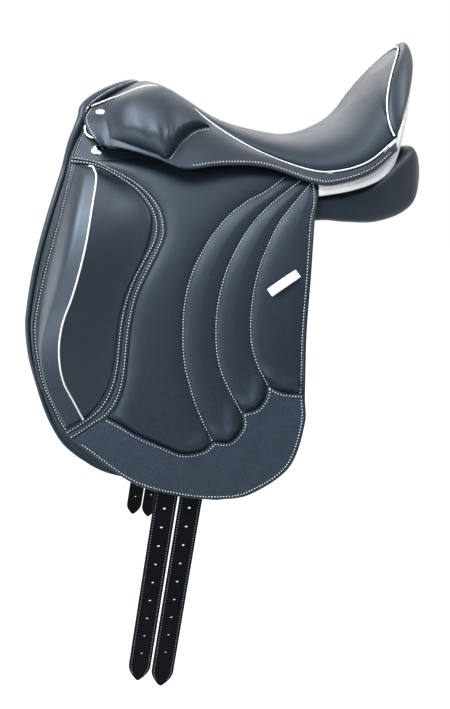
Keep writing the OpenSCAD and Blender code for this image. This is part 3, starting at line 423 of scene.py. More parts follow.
def on_flap(xz, off):
    """Points over the flap's inner face: the cylinder's half width at that height, spread to the rear."""
    x, z = xz[..., 0], xz[..., 1]
    n = FLAP_HALF_W - FLAP_BEND_R + np.sqrt((FLAP_BEND_R + off) ** 2 - (z - FLAP_WIDE_Z) ** 2)
    return np.stack([x, n / math.cos(FLAP_SPREAD) + (x - SPREAD_X) * math.tan(FLAP_SPREAD), z], -1)


def flap_out(xz):
    """Direction out of the flap: square to the cylinder, turned by its spread."""
    lean = np.arcsin((xz[..., 1] - FLAP_WIDE_Z) / FLAP_BEND_R)
    level = np.cos(lean)
    return np.stack([-math.sin(FLAP_SPREAD) * level, math.cos(FLAP_SPREAD) * level, np.sin(lean)], -1)


# Meshes

def quads(rows, columns, wrap=False):
    """Four corner numbers of each face of a grid, its columns closed into rings where wrap is set."""
    i = np.arange(rows - 1)[:, None]
    j = np.arange(columns if wrap else columns - 1)[None]
    k = (j + 1) % columns
    corners = np.broadcast_arrays(i * columns + j, i * columns + k, (i + 1) * columns + k, (i + 1) * columns + j)
    return np.stack(corners, -1).reshape(-1, 4)


def repeated(faces, step, count):
    """Faces of one shape numbered on for a count of shapes, each with its step of points."""
    return (faces[None] + step * np.arange(count)[:, None, None]).reshape(-1, 4)


def shell(outer, inner):
    """Closed wall between two grids of one size: both faces, and a rim round their borders."""
    rows, columns = outer.shape[:2]
    number = np.arange(rows * columns).reshape(rows, columns)
    loop = np.concatenate([number[0, :-1], number[:-1, -1], number[-1, :0:-1], number[:0:-1, 0]])
    after = np.roll(loop, -1)
    rim = np.stack([after, loop, loop + number.size, after + number.size], -1)
    faces = quads(rows, columns)
    points = np.concatenate([outer.reshape(-1, 3), inner.reshape(-1, 3)])
    return points, np.concatenate([faces, faces[:, ::-1] + number.size, rim])


def leather_sheet(surface, out, thick, radius):
    """Cut leather under a surface: two faces a thickness apart, drawn together at the rounded edges."""
    drop = rounding(border_distance(surface), min(radius, thick / 2))[..., None]
    return shell(surface - out * drop, surface - out * (thick - drop))


def tube(path, beside, radius, sides=12, wide=1.0):
    """Rings carried along a path, square to it and turned from the direction beside it; each end closes in a
    point half a radius on."""
    t = unit(np.gradient(path, axis=0))
    s = unit(np.cross(t, np.broadcast_to(beside, t.shape)))
    n = np.cross(s, t)
    a = ring_angles(sides)[None, :, None]
    r = np.broadcast_to(radius, len(path)).astype(float)
    rings = path[:, None] + r[:, None, None] * (wide * np.cos(a) * s[:, None] + np.sin(a) * n[:, None])
    first = path[:1, None] - 0.5 * r[0] * t[:1, None] + 0 * rings[:1]
    last = path[-1:, None] + 0.5 * r[-1] * t[-1:, None] + 0 * rings[:1]
    rings = np.concatenate([first, rings, last])
    return rings.reshape(-1, 3), quads(len(rings), sides, True)


def stitches(path, out, sizes):
    """Stitches end to end along a path: a six-sided thread at a slant, thick in the middle, whose ends dip into
    the leather."""
    pitch, half = sizes.stitch_pitch / MM, sizes.stitch_width / MM / 2
    s = lengths(path)
    count = max(int(s[-1] / pitch), 2)
    share = (np.arange(count) + 0.5) / count
    step = 0.2 / count
    n = unit(np.stack([np.interp(share, s / s[-1], out[:, i]) for i in range(3)], -1))
    t = unit(along(path, np.minimum(share + step, 1)) - along(path, np.maximum(share - step, 0)))
    t = unit(t + STITCH_SLANT * unit(np.cross(n, t)))
    side = np.cross(n, t)
    ends, thick, lift = STITCH_ENDS * pitch, STITCH_THICK[:, None] * half, STITCH_LIFT[:, None] * half
    a = ring_angles(STITCH_SIDES)
    shape = (along(path, share)[:, None, None] + t[:, None, None] * ends[None, :, None, None]
             + side[:, None, None] * (thick * np.cos(a))[None, :, :, None]
             + n[:, None, None] * (lift + thick * np.sin(a))[None, :, :, None])
    caps = [[3, 2, 1, 0], [5, 4, 3, 0], [24, 25, 26, 27], [24, 27, 28, 29]]
    faces = np.concatenate([quads(len(ends), STITCH_SIDES, True), caps])
    return shape.reshape(-1, 3), repeated(faces, len(ends) * STITCH_SIDES, count)


def joined(parts):
    """Several meshes as one: their points in a row, and their faces numbered on."""
    starts = np.cumsum([0] + [len(p) for p, _ in parts])
    return (np.concatenate([p for p, _ in parts]),
            np.concatenate([f + s for (_, f), s in zip(parts, starts)]))


def volume(points, faces):
    """Signed volume inside faces of four corners, as two tetrahedra each."""
    a, b, c, d = (points[faces[:, i]] for i in range(4))
    return (np.einsum("ij,ij->i", a, np.cross(b, c)) + np.einsum("ij,ij->i", a, np.cross(c, d))).sum() / 6


def new_piece(name, mesh_data, material, side=1.0, sharp=SHARP_DEGREES):
    """Mesh object from points in mm: mirrored to its side, welded, turned outwards and shaded smooth."""
    points, faces = mesh_data
    points = points * np.array([1, side, 1])
    cells = np.round(points, WELD_DIGITS)
    _, first, number = np.unique(cells, axis=0, return_index=True, return_inverse=True)
    faces = number.reshape(-1)[faces]
    points = points[first]
    if volume(points, faces) < 0:
        faces = faces[:, ::-1]
    kept = faces != np.roll(faces, -1, axis=1)
    four = kept.all(axis=1)
    three = kept.sum(axis=1) == 3
    corners = faces[three][kept[three]].reshape(-1, 3)
    mesh = bpy.data.meshes.new(name)
    mesh.from_pydata((points * MM).tolist(), [], faces[four].tolist() + corners.tolist())
    mesh.polygons.foreach_set("use_smooth", np.ones(len(mesh.polygons), bool))
    mesh.set_sharp_from_angle(angle=math.radians(sharp))
    mesh.materials.append(material)
    mesh.update()
    obj = bpy.data.objects.new(name, mesh)
    bpy.context.scene.collection.objects.link(obj)
    return obj


def cut_away(obj, cutter):
    """Takes the cutter's solid out of a piece with an exact boolean, and drops the cutter."""
    mod = obj.modifiers.new("cut", "BOOLEAN")
    mod.operation, mod.object, mod.solver = "DIFFERENCE", cutter, "EXACT"
    graph = bpy.context.evaluated_depsgraph_get()
    mesh = bpy.data.meshes.new_from_object(obj.evaluated_get(graph))
    obj.modifiers.clear()
    obj.data = mesh
    mesh.set_sharp_from_angle(angle=math.radians(SHARP_DEGREES))
    bpy.data.objects.remove(cutter)


def prism(outline, low, high):
    """Outline of four corners in X and Z drawn out in Y from low to high, as a closed solid."""
    p = np.asarray(outline, float)
    ends = [np.stack([p[:, 0], np.full(len(p), y), p[:, 1]], -1) for y in (low, high)]
    k = np.arange(4)
    walls = np.stack([k, (k + 1) % 4, (k + 1) % 4 + 4, k + 4], -1)
    return np.concatenate(ends), np.concatenate([walls, [[3, 2, 1, 0], [4, 5, 6, 7]]])


# Materials

def node(tree, kind, inputs=None, **settings):
    """Adds a node, sets its properties, and gives each named input a value or a link."""
    made = tree.nodes.new(kind)
    for key, value in settings.items():
        setattr(made, key, value)
    for key, value in (inputs or {}).items():
        if isinstance(value, bpy.types.NodeSocket):
            tree.links.new(value, made.inputs[key])
        else:
            made.inputs[key].default_value = value
    return made


def new_material(name):
    """Empty node material with its output and shader: gives the tree, the shader and Object coordinates."""
    material = bpy.data.materials.new(name)
    material.use_nodes = True
    tree = material.node_tree
    tree.nodes.clear()
    shader = node(tree, "ShaderNodeBsdfPrincipled")
    node(tree, "ShaderNodeOutputMaterial", {"Surface": shader.outputs["BSDF"]})
    place = node(tree, "ShaderNodeTexCoord").outputs["Object"]
    return material, tree, shader, place


def rgba(colour, share=1.0):
    """Colour with a fourth value of one, made lighter or darker by a share."""
    return (*[min(c * share, 1.0) for c in colour], 1.0)


def per_metre(size_mm):
    """Texture scale whose cells are about that many millimetres wide."""
    return 1 / (size_mm * MM)


def leather(name, colour, grain_mm, relief_mm, roughness, pebble=0.5, worn=1.35, gloss=0.3):
    """Grained leather: rounded cells, bent by noise and parted by fine creases whose colour is darkened as painted
    shade, cloudy dye and uneven polish.
    """
    material, tree, shader, place = new_material(name)
    bend = node(tree, "ShaderNodeTexNoise", {
        "Vector": place, "Scale": per_metre(2.2 * grain_mm), "Detail": 2.0})
    shift = node(tree, "ShaderNodeVectorMath", {
        0: bend.outputs["Color"], 1: (0.5, 0.5, 0.5)}, operation="SUBTRACT")
    drift = node(tree, "ShaderNodeVectorMath", {
        0: shift.outputs[0], "Scale": 0.9 * grain_mm * MM}, operation="SCALE")
    warped = node(tree, "ShaderNodeVectorMath", {0: place, 1: drift.outputs[0]}, operation="ADD")
    cells = node(tree, "ShaderNodeTexVoronoi", {
        "Vector": warped.outputs[0], "Scale": per_metre(grain_mm), "Randomness": 0.9}, feature="DISTANCE_TO_EDGE")
    crease = node(tree, "ShaderNodeMapRange", {
        "Value": cells.outputs["Distance"], "From Min": 0.0, "From Max": 0.32}, interpolation_type="SMOOTHSTEP")
    fine = node(tree, "ShaderNodeTexNoise", {
        "Vector": place, "Scale": per_metre(0.5 * grain_mm), "Detail": 3.0})
    height = node(tree, "ShaderNodeMix", {
        0: pebble, 2: fine.outputs["Fac"], 3: crease.outputs["Result"]}, data_type="FLOAT")
    bump = node(tree, "ShaderNodeBump", {
        "Height": height.outputs[0], "Strength": 0.6, "Distance": relief_mm * MM})
    cloud = node(tree, "ShaderNodeTexNoise", {
        "Vector": place, "Scale": per_metre(CLOUD_MM), "Detail": 4.0, "Roughness": 0.6})
    tone = node(tree, "ShaderNodeValToRGB", {"Fac": cloud.outputs["Fac"]})
    for stop, position, share in zip(tone.color_ramp.elements, (0.3, 0.72), (0.82, worn)):
        stop.position, stop.color = position, rgba(colour, share)
    # Painted shade: the colour in the grain's creases is darkened to 0.55 of the base colour
    dark = node(tree, "ShaderNodeMix", {
        0: crease.outputs["Result"], 6: rgba(colour, 0.55), 7: tone.outputs["Color"]}, data_type="RGBA")
    polish = node(tree, "ShaderNodeMapRange", {
        "Value": cloud.outputs["Fac"], "From Min": 0.3, "From Max": 0.7,
        "To Min": roughness + 0.05, "To Max": roughness - 0.05})
    tree.links.new(dark.outputs[2], shader.inputs["Base Color"])
    tree.links.new(polish.outputs["Result"], shader.inputs["Roughness"])
    tree.links.new(bump.outputs["Normal"], shader.inputs["Normal"])
    shader.inputs["IOR"].default_value = 1.5
    shader.inputs["Specular IOR Level"].default_value = gloss
    shader.inputs["Specular Tint"].default_value = rgba(linear(LEATHER_SHEEN))
    return material


def smooth_finish(name, colour, roughness, mottle_mm, vary, metallic=0.0, coat=0.0, relief_mm=0.02):
    """Even finish with faint mottling: noise of a real size moves the tone, the polish and the surface."""
    material, tree, shader, place = new_material(name)
    cloud = node(tree, "ShaderNodeTexNoise", {"Vector": place, "Scale": per_metre(mottle_mm), "Detail": 4.0})
    tone = node(tree, "ShaderNodeMix", {
        0: cloud.outputs["Fac"], 6: rgba(colour, 1 - vary), 7: rgba(colour, 1 + vary)}, data_type="RGBA")
    polish = node(tree, "ShaderNodeMapRange", {
        "Value": cloud.outputs["Fac"], "From Min": 0.3, "From Max": 0.7,
        "To Min": roughness * 0.8, "To Max": roughness * 1.2})
    bump = node(tree, "ShaderNodeBump", {
        "Height": cloud.outputs["Fac"], "Strength": 0.3, "Distance": relief_mm * MM})
    tree.links.new(tone.outputs[2], shader.inputs["Base Color"])
    tree.links.new(polish.outputs["Result"], shader.inputs["Roughness"])
    tree.links.new(bump.outputs["Normal"], shader.inputs["Normal"])
    shader.inputs["Metallic"].default_value = metallic
    shader.inputs["Coat Weight"].default_value = coat
    shader.inputs["Coat Roughness"].default_value = 0.06
    return material


def banded(name, colour, dark, band_mm, stretch, roughness, distortion, relief_mm):
    """Bands of two tones drawn out along one direction, bent by noise: wood grain or woven ribs."""
    material, tree, shader, place = new_material(name)
    drawn = node(tree, "ShaderNodeMapping", {"Vector": place, "Scale": stretch})
    wave = node(tree, "ShaderNodeTexWave", {
        "Vector": drawn.outputs["Vector"], "Scale": per_metre(band_mm) / 2, "Distortion": distortion,
        "Detail": 3.0, "Detail Scale": 1.5})
    tone = node(tree, "ShaderNodeMix", {
        0: wave.outputs["Fac"], 6: rgba(linear(dark)), 7: rgba(colour)}, data_type="RGBA")
    bump = node(tree, "ShaderNodeBump", {
        "Height": wave.outputs["Fac"], "Strength": 0.4, "Distance": relief_mm * MM})
    tree.links.new(tone.outputs[2], shader.inputs["Base Color"])
    tree.links.new(bump.outputs["Normal"], shader.inputs["Normal"])
    shader.inputs["Roughness"].default_value = roughness
    return material


# Each finish: its kind, its colour as a setting's name or an sRGB hex value, and its measures. The grain of calf is
# about 0.5 mm wide and a pebbled grain about 1.5 mm, too fine to show here, so hides have it several times coarser
FINISHES = {
    # Calf leather, dyed black and plated: a satin skin that shows the light softly
    "calf_leather": (leather, "leather", dict(grain_mm=2.0, relief_mm=0.12, roughness=0.42, gloss=0.5)),
    # Flap leather, dyed and waxed: slightly duller than the seat
    "waxed_flap_leather": (leather, "leather", dict(grain_mm=2.0, relief_mm=0.10, roughness=0.46, gloss=0.42)),
    # Block leather, stretched tight over foam: the smoothest and glossiest of the hides
    "block_leather": (leather, "leather", dict(grain_mm=2.2, relief_mm=0.12, roughness=0.4, gloss=0.6)),
    # Panel leather, soft and thin over its filling: an even, quiet sheen
    "matt_panel_leather": (leather, "leather", dict(grain_mm=2.0, relief_mm=0.10, roughness=0.42, gloss=0.42)),
    # Pebbled grip leather, embossed with a coarse round grain: bright tops, and creases dark from the relief and
    # from painted shade
    "pebbled_grip_leather": (leather, "grip", dict(
        grain_mm=2.8, relief_mm=0.36, roughness=0.52, pebble=0.8, worn=1.25, gloss=0.52)),
    # Strap leather, drum dyed and greased: nearly black, dull, close grained
    "greased_strap_leather": (leather, "strap", dict(
        grain_mm=1.2, relief_mm=0.05, roughness=0.5, worn=1.5, gloss=0.06)),
    # White piping leather: thin split leather with a satin pigment finish
    "white_piping_leather": (smooth_finish, "piping", dict(roughness=0.4, mottle_mm=3, vary=0.04)),
    # White patent leather: pigment under a clear lacquer that mirrors the light
    "white_patent_leather": (smooth_finish, "patent", dict(roughness=0.22, mottle_mm=14, vary=0.03, coat=0.8)),
    # Polyester thread: bright, dull, a little uneven from stitch to stitch
    "polyester_thread": (smooth_finish, "thread", dict(roughness=0.65, mottle_mm=2.2, vary=0.16)),
    # Waxed linen thread of the straps: grey with grease, so that the rows only just show
    "waxed_linen_thread": (smooth_finish, "#62666b", dict(roughness=0.7, mottle_mm=2.2, vary=0.2)),
    # Chromed brass, polished: a mirror with faint finger marks
    "chromed_brass": (smooth_finish, "#e4e6e8", dict(
        roughness=0.07, mottle_mm=6, vary=0.03, metallic=1.0, relief_mm=0.004)),
    # White enamelled brass of the oval saddle nail: a hard, glassy white
    "white_enamel": (smooth_finish, "#ebebe8", dict(roughness=0.15, mottle_mm=8, vary=0.02, coat=0.6)),
    # Stainless steel, tumbled: greyer and softer than chrome
    "stainless_steel": (smooth_finish, "#b9bcc0", dict(roughness=0.28, mottle_mm=2.5, vary=0.06, metallic=1.0)),
    # Tempered spring steel: a dull shine under its grey scale
    "tempered_steel": (smooth_finish, "#6f747b", dict(roughness=0.38, mottle_mm=9, vary=0.14, metallic=1.0)),
    # Copper rivets, hammered: warm, with small uneven facets
    "copper": (smooth_finish, "#b57348", dict(roughness=0.34, mottle_mm=3, vary=0.15, metallic=1.0)),
    # Laminated beech of the tree, its colour darkened as painted shade for the gap under the skirt where it shows:
    # fine growth bands along the rails
    "laminated_beech": (banded, "#5f452b", dict(
        dark="#49331e", band_mm=5, stretch=(0.25, 1, 1), roughness=0.5, distortion=4.0, relief_mm=0.05)),
    # Cotton canvas webbing: flat ribs across the band
    "canvas_webbing": (banded, "#cdc6b4", dict(
        dark="#aba28d", band_mm=2, stretch=(1, 0.2, 1), roughness=0.9, distortion=0.6, relief_mm=0.3)),
    # Saddle foam: pale, open celled and dull
    "saddle_foam": (leather, "#cdbd86", dict(
        grain_mm=2.2, relief_mm=0.4, roughness=0.85, pebble=0.3, worn=1.1)),
}


def finish(name):
    """Material of that name, made the first time that it is asked for."""
    if name not in bpy.data.materials:
        make, colour, measures = FINISHES[name]
        if colour.startswith("#"):
            make(name, linear(colour), **measures)
        else:
            make(name, getattr(bpy.context.scene.saddle_colours, colour), **measures)
    return bpy.data.materials[name]


# The seat

def welt(u):
    """Seam between seat and skirt at station u."""
    return curve(WELT, np.minimum(u, WELT_END))


def half_rib(u, t):
    """Half a rib of the seat: a cubic from the welt, by its handle, to the top, level at the centre."""
    a, top = welt(u), curve(RIB_TOPS, u)
    b = a + curve(RIB_HANDLES, u)
    c = np.stack([top[..., 0], curve(RIB_WIDTHS, u), top[..., 1]], -1)
    d = c * np.array([1, 0, 1])
    t = np.asarray(t)[..., None]
    return a * (1 - t) ** 3 + 3 * b * t * (1 - t) ** 2 + 3 * c * t**2 * (1 - t) + d * t**3


def rib(u, v):
    """Whole rib, with v from 0 on the off side to 1 on the near side."""
    p = half_rib(u, 1 - np.abs(2 * v - 1))
    return p * np.stack([np.ones_like(v), np.where(v <= 0.5, 1.0, -1.0), np.ones_like(v)], -1)


def seat_normal(u, v):
    """Direction out of the seat: across small steps along and round it, taken clear of the seams."""
    w = np.clip(v, 0.03, 0.97)
    down = rib(np.minimum(u + 0.05, FACING_U), w) - rib(np.maximum(u - 0.05, 0), w)
    return unit(np.cross(down, rib(u, w - 0.01) - rib(u, w + 0.01)))


def seat_grid(stations, count, edge):
    """Points and normals over the seat: ribs at stations, shared out from seam to seam, clear of the welt
    by an edge that grows at the front."""
    u = np.broadcast_to(stations[:, None], (len(stations), count))
    e = edge * (1 + 0.7 * np.maximum(0, 1.2 - u)) / (6 * np.linalg.norm(curve(RIB_HANDLES, u), axis=-1))
    v = e + (1 - 2 * e) * crowded(count)[None]
    return rib(u, v), seat_normal(u, v)


def pommel_reach(u):
    """How far the leather is drawn forwards and down at station u, most at the pommel."""
    return np.clip(1 - u / 0.9, 0, 1)[:, None] ** 1.5 * np.array([-POMMEL_REACH, 0, -0.35 * POMMEL_REACH])


def padded_cover(first, last, rows):
    """Leather drawn over foam between two stations: the seat's surface, which runs on a little at the pommel and
    dips into the seams at its borders, less and less with distance."""
    stations = np.linspace(first, last, rows)
    surface, out = seat_grid(stations, 90, COVER_EDGE)
    surface = surface + pommel_reach(stations)[:, None]
    dip = COVER_TUCK * np.exp(-border_distance(surface) / TUCK_REACH)
    return shell(surface - out * dip[..., None], surface - out * COVER_T)


def seat_foam():
    """Foam under the cover: from below the leather down to a depth that swells to the middle."""
    stations = np.linspace(0.5, 8.8, 70)
    surface, out = seat_grid(stations, 45, FOAM_EDGE)
    top = COVER_T + FOAM_CLEAR
    bow = np.sin(np.pi * crowded(45))[None, :]
    deep = top + FOAM_THIN + (curve(FOAM_DEPTH, stations)[:, None] - FOAM_THIN) * bow
    return shell(surface - out * top, surface - out * deep[..., None])


def skirt_at(u, w, high=0.0):
    """Skirt from the welt, w 0, to its lower edge, w 1, bulged by half a sine wave and lifted; its front edge
    bows forwards and its lower corner is drawn back."""
    a, b = welt(u), curve(SKIRT_EDGE, u)
    run = welt(np.minimum(u + 0.1, WELT_END)) - welt(np.maximum(u - 0.1, 0))
    out = outwards(unit(np.cross(unit(run), unit(b - a))))
    w = np.asarray(w, float)[..., None]
    rise = curve(SKIRT_BULGE, u) * np.sin(np.pi * w[..., 0]) + high
    ahead = (1 - w) * (np.array(WELT[0]) - WELT[1]) + w * (np.array(SKIRT_EDGE[0]) - SKIRT_EDGE[1])
    near = np.clip(1 - np.asarray(u)[..., None] / 0.6, 0, 1)
    near = near**2 * (3 - 2 * near)
    bow = (SKIRT_FRONT_BOW * np.sin(np.pi * w**0.9) - SKIRT_CORNER * w**8) * near
    rise = rise + (SKIRT_FRONT_LIFT * np.sin(0.5 * np.pi * w) * near)[..., 0]
    return a + (b - a) * w + out * rise[..., None] + unit(ahead) * bow, out


def skirt_width(u):
    """Width of the skirt from the welt to its lower edge at station u."""
    return np.linalg.norm(curve(SKIRT_EDGE, u) - welt(u), axis=-1)


def skirt():
    """Skirt leather: a grid between the welt and the lower edge, with rounded edges."""
    u = np.linspace(0.04, 8.97, 150)[:, None] + np.zeros((1, 44))
    start = SKIRT_CLEAR / skirt_width(u)
    w = start + (1 - start) * crowded(44)[None]
    surface, _ = skirt_at(u, w)
    return leather_sheet(surface, outwards(grid_normal(surface)), SKIRT_T, SKIRT_ROUND)


def oval_nail():
    """Oval nail on the skirt: rings of an ellipse that rise to a low dome, closed below by a point."""
    u, w = np.array([NAIL_U, NAIL_U + 0.1]), np.array([NAIL_W, NAIL_W])
    (base, ahead), (out, _) = skirt_at(u, w)
    run = unit(ahead - base)
    side = np.cross(out, run)
    run, side = (run * math.cos(NAIL_TILT) + side * math.sin(NAIL_TILT),
                 side * math.cos(NAIL_TILT) - run * math.sin(NAIL_TILT))
    a = ring_angles(28)[:, None]
    share, high = (np.array(values)[:, None, None] for values in (NAIL_SHARE, NAIL_HIGH))
    oval = NAIL_A * np.cos(a) * run + NAIL_B * np.sin(a) * side
    rings = base + share * oval[None] + high * out
    return rings.reshape(-1, 3), quads(*rings.shape[:2], True)


def pad_low(f):
    """Lower edge of the skirt pad at share f along it, as a share of the way down the skirt."""
    return curve(PAD_LOW, f * (len(PAD_LOW) - 1))


def pad_shape(f, t):
    """Skirt pad at share f along it and t down it: a swell that is gentle at the top and steep at the
    lower and rear edge, with gathers along the bottom."""
    u = PAD_FROM + (PAD_TO - PAD_FROM) * f + 0.2 * t * (1 - f)
    top = 0.05 + 0.04 * f
    w = top + (pad_low(f) - top) * t
    ends = np.sin(0.5 * np.pi * np.clip(f / 0.36, 0.02, 1)) ** 0.8 * (1 - np.clip((f - 0.55) / 0.46, 0, 1) ** 2)
    soft = 0.16 + 0.8 * np.clip(1 - f / 0.55, 0, 1) + 0.5 * np.clip((f - 0.8) / 0.2, 0, 1)
    from_top = np.sqrt(1 - (1 - np.clip(t / soft, 0, 1)) ** 2)
    from_low = np.sqrt(1 - (1 - np.clip((1 - t) / 0.18, 0, 1)) ** 2.4)
    gather = 0.5 * np.sin(62 * f + 3 * np.sin(9 * f)) * np.exp(-((t - 0.86) / 0.09) ** 2)
    gather *= np.exp(-((f - 0.5) / 0.3) ** 2)
    high = 0.5 + PAD_H * ends * from_top * from_low * (0.8 + 0.2 * np.sin(np.pi * t)) + gather
    return skirt_at(u, w, high)[0], skirt_at(u, w, 0.3)[0]


def skirt_pad():
    """Skirt pad as a closed shell over the skirt."""
    f, t = np.meshgrid(crowded(110), crowded(60), indexing="ij")
    return shell(*pad_shape(f, t))


def rear_facing():
    """Facing round the rear: rows from the upper to the lower edge, swelled in two lobes beside a crease, and
    mirrored about the middle."""
    last = len(FACING_LOWER) - 1
    k = np.linspace(0, last, 110)
    back = half_rib(np.full(5, float(FACING_U)), np.array([.14, .27, .45, .7, 1])) - [0, 0, FACING_DROP]
    upper = curve(np.concatenate([np.array(FACING_SIDE, float), back]), k)
    lower = curve(FACING_LOWER, k)
    run = curve(FACING_LOWER, np.minimum(k + 0.1, last)) - curve(FACING_LOWER, np.maximum(k - 0.1, 0))
    out = unit(np.cross(lower - upper, run))
    out = np.where(out[:, :1] + out[:, 1:2] < 0, -out, out)
    w = crowded(36)
    swell = 2 * np.sin(np.pi * w) - 1.5 * np.exp(-((w - 0.6) / 0.06) ** 2)
    grid = ruled(upper, lower, w) + out[:, None] * swell[None, :, None]
    grid, out = (np.concatenate([half, (half * MIRROR)[-2::-1]]) for half in (grid, out))
    return leather_sheet(grid, np.broadcast_to(out[:, None], grid.shape), FACING_T, FACING_ROUND)


def rim_path():
    """One half of the front rim and its half width: over the pommel, then down the sweat flap's front edge."""
    roll, roll_wide = trace(ROLL, 60), trace(RIM_R, 60)
    edge_wide = trace(RIM_EDGE_R, 150)
    edge = on_flap(inset(trace(SWEAT_FRONT[2:], 150), edge_wide[:, None]), RIM_OFF)
    path = np.concatenate([roll[:-6:3], roll[-1:], edge[::5]])
    wide = np.concatenate([roll_wide[:-6:3], roll_wide[-1:], edge_wide[::5]])
    return trace(path, 260), trace(wide, 260)


def whole_rim():
    """Rim from the near to the off side: path and half width, mirrored about the middle."""
    path, wide = rim_path()
    return np.concatenate([(path * MIRROR)[:0:-1], path]), np.concatenate([wide[:0:-1], wide])


def rim_row():
    """Sewn row on the upper rear of the rim where it crosses the pommel, and its direction out of the leather."""
    path, wide = whole_rim()
    t = unit(np.gradient(path, axis=0))
    up = unit(np.cross(t, (1, 0, 0)))
    back = np.cross(up, t)
    up = np.where(up[:, 2:] < 0, -up, up)
    level, turned = math.cos(RIM_SEWN_TURN), math.sin(RIM_SEWN_TURN)
    row = path + wide[:, None] * (RIM_FLAT * level * up + turned * back)
    lean = unit(level * up + RIM_FLAT * turned * back)
    sewn = path[:, 2] > RIM_SEWN_Z
    return row[sewn], lean[sewn]


def cantle_piping_path(radius):
    """Path of the cantle's piping: the rib between seat and cantle, half a radius proud."""
    v = np.linspace(0.012, 0.988, 220)
    u = np.full(len(v), float(PIPING_U))
    return rib(u, v) + seat_normal(u, v) * (0.5 * radius)


def welt_path():
    """Path of the side piping: from the skirt's front edge along the welt, set proud of it at the pommel."""
    u = np.linspace(0.04, WELT_END - 0.02, 90)
    hook = skirt_at(np.full(2, 0.03), np.array([0.07, 0.035]), 0.6)[0] + pommel_reach(u[:1])
    proud = WELT_PROUD * np.clip((4 - u) / 1.5, 0, 1)[:, None]
    return trace(np.concatenate([hook + WELT_PROUD, welt(u) + pommel_reach(u) + proud]), 300)


# The flaps

def flap_grid():
    """Flap in X and Z: rows from its front to its rear edge, through the front corner and the fixed top."""
    corner = np.linspace(0, 1, 12)
    top = np.linspace(0, 1, 30)
    main_part = np.sin(0.5 * np.pi * np.linspace(0, 1, 130))
    front, rear = (
        np.concatenate([along(tab, corner), along(head, top)[1:], along(trace(edge, 200), main_part)[1:]])
        for tab, head, edge in ((TAB_FRONT, TOP_FRONT, FRONT_EDGE), (TAB_REAR, TOP_REAR, REAR_EDGE)))
    return ruled(front, rear, crowded(110))


def flap_inward(xz):
    """Distance of points from the flap's outline."""
    front = np.concatenate([np.array(TAB_FRONT + TOP_FRONT[1:-1], float), trace(FRONT_EDGE, 90)])
    return np.minimum(near_line(xz, front), near_line(xz, trace(REAR_EDGE, 90)))


def flap_mesh(edge):
    """Flap leather: both faces of the flap, rounded at its outline, with a fine groove inside the lip."""
    xz = flap_grid()
    inward = flap_inward(xz)
    drop = rounding(inward, edge)
    groove = LIP_DEPTH * np.exp(-((inward - LIP_W) / LIP_SOFT) ** 2)
    return shell(on_flap(xz, FLAP_T - (drop + groove)), on_flap(xz, drop))


def on_flap_sheet(xz, top, thick):
    """Cut leather whose outer face lies at a height over the flap's inner face, with half-round edges."""
    return leather_sheet(on_flap(xz, top), flap_out(xz), thick, thick / 2)


def sweat_mesh():
    """Sweat flap: rows from its front edge, under the rim, to its rear edge."""
    share = np.sin(0.5 * np.pi * np.linspace(0, 1, 120))
    front = inset(trace(SWEAT_FRONT, 200), SWEAT_UNDER_RIM)
    xz = ruled(along(front, share), along(SWEAT_REAR, share), crowded(70))
    return on_flap_sheet(xz, SWEAT_TOP, SWEAT_T)


def block_mesh():
    """Knee block: stations from top to bottom, each from the front foot up the front face to a crease, over
    the narrow top to the ridge, and down a hollow to the rear foot, with rounded borders."""
    u = np.concatenate([np.linspace(0, 0.4, 16)[:-1], np.linspace(0.4, len(BLOCK) - 1, 150)])
    w = 2 * crowded(96)
    s = curve(BLOCK, u)
    front, ridge, rear = s[:, 0:2], s[:, 2:4], s[:, 4:6]
    foot = np.concatenate([ruled(front, ridge, w[w < 1]), ruled(ridge, rear, w[w >= 1] - 1)], axis=1)
    crease = curve(BLOCK_CREASE, u)[:, None]
    up = np.minimum(w[None] / crease, 1)
    over = np.clip((w[None] - crease) / (1 - crease), 0, 1)
    share = 0.12 + 0.78 * np.sin(0.5 * np.pi * up) ** 0.8 + 0.10 * over
    hollow = curve(BLOCK_REAR_SHARE, np.interp(w, BLOCK_REAR_PLACE, np.arange(len(BLOCK_REAR_PLACE))))
    share = np.where(w[None] < 1, share, hollow[None])
    high = BLOCK_FOOT + BLOCK_H * s[:, 6:7] * share
    edge = np.clip(border_distance(on_flap(foot, BLOCK_BASE)) / BLOCK_EDGE, 0, 1)
    top = BLOCK_BASE + high * np.sqrt(1 - (1 - edge) ** 2)
    return shell(on_flap(foot, top), on_flap(foot, BLOCK_BASE - BLOCK_SUNK))


def block_ridge():
    """Path of the block's piping: round its upper front corner, then down the ridge to the strip."""
    s = curve(BLOCK, np.linspace(0.22, len(BLOCK) - 1, 120))
    path = on_flap(s[:, 2:4], BLOCK_BASE + BLOCK_FOOT + BLOCK_H * s[:, 6] + 0.5)
    hook = on_flap(np.array(BLOCK_HOOK), BLOCK_BASE + np.array(BLOCK_HOOK_HIGH))
    return trace(np.concatenate([hook, path[::5], path[-1:]]), 180)


def strip_line(share):
    """Line along the strip behind the block, at a share of the way from its inner to its outer edge."""
    inner, outer = (along(trace(edge, 240), np.linspace(0, 1, 200)) for edge in (STRIP_INNER, STRIP_OUTER))
    return inner + (outer - inner) * share


def strip_mesh():
    """Strip behind the block: a band with a groove along its middle, between its two sewn rows."""
    across = crowded(40)
    groove = STRIP_GROOVE * np.exp(-((across - 0.48) / 0.07) ** 2)[None]
    return on_flap_sheet(ruled(strip_line(0), strip_line(1), across), FLAP_T + STRIP_TOP - groove, STRIP_T)


def scallop_line():
    """Upper edge of the grip piece from front to rear, scallop by scallop."""
    return np.concatenate([trace(s, 40) for s in SCALLOPS])


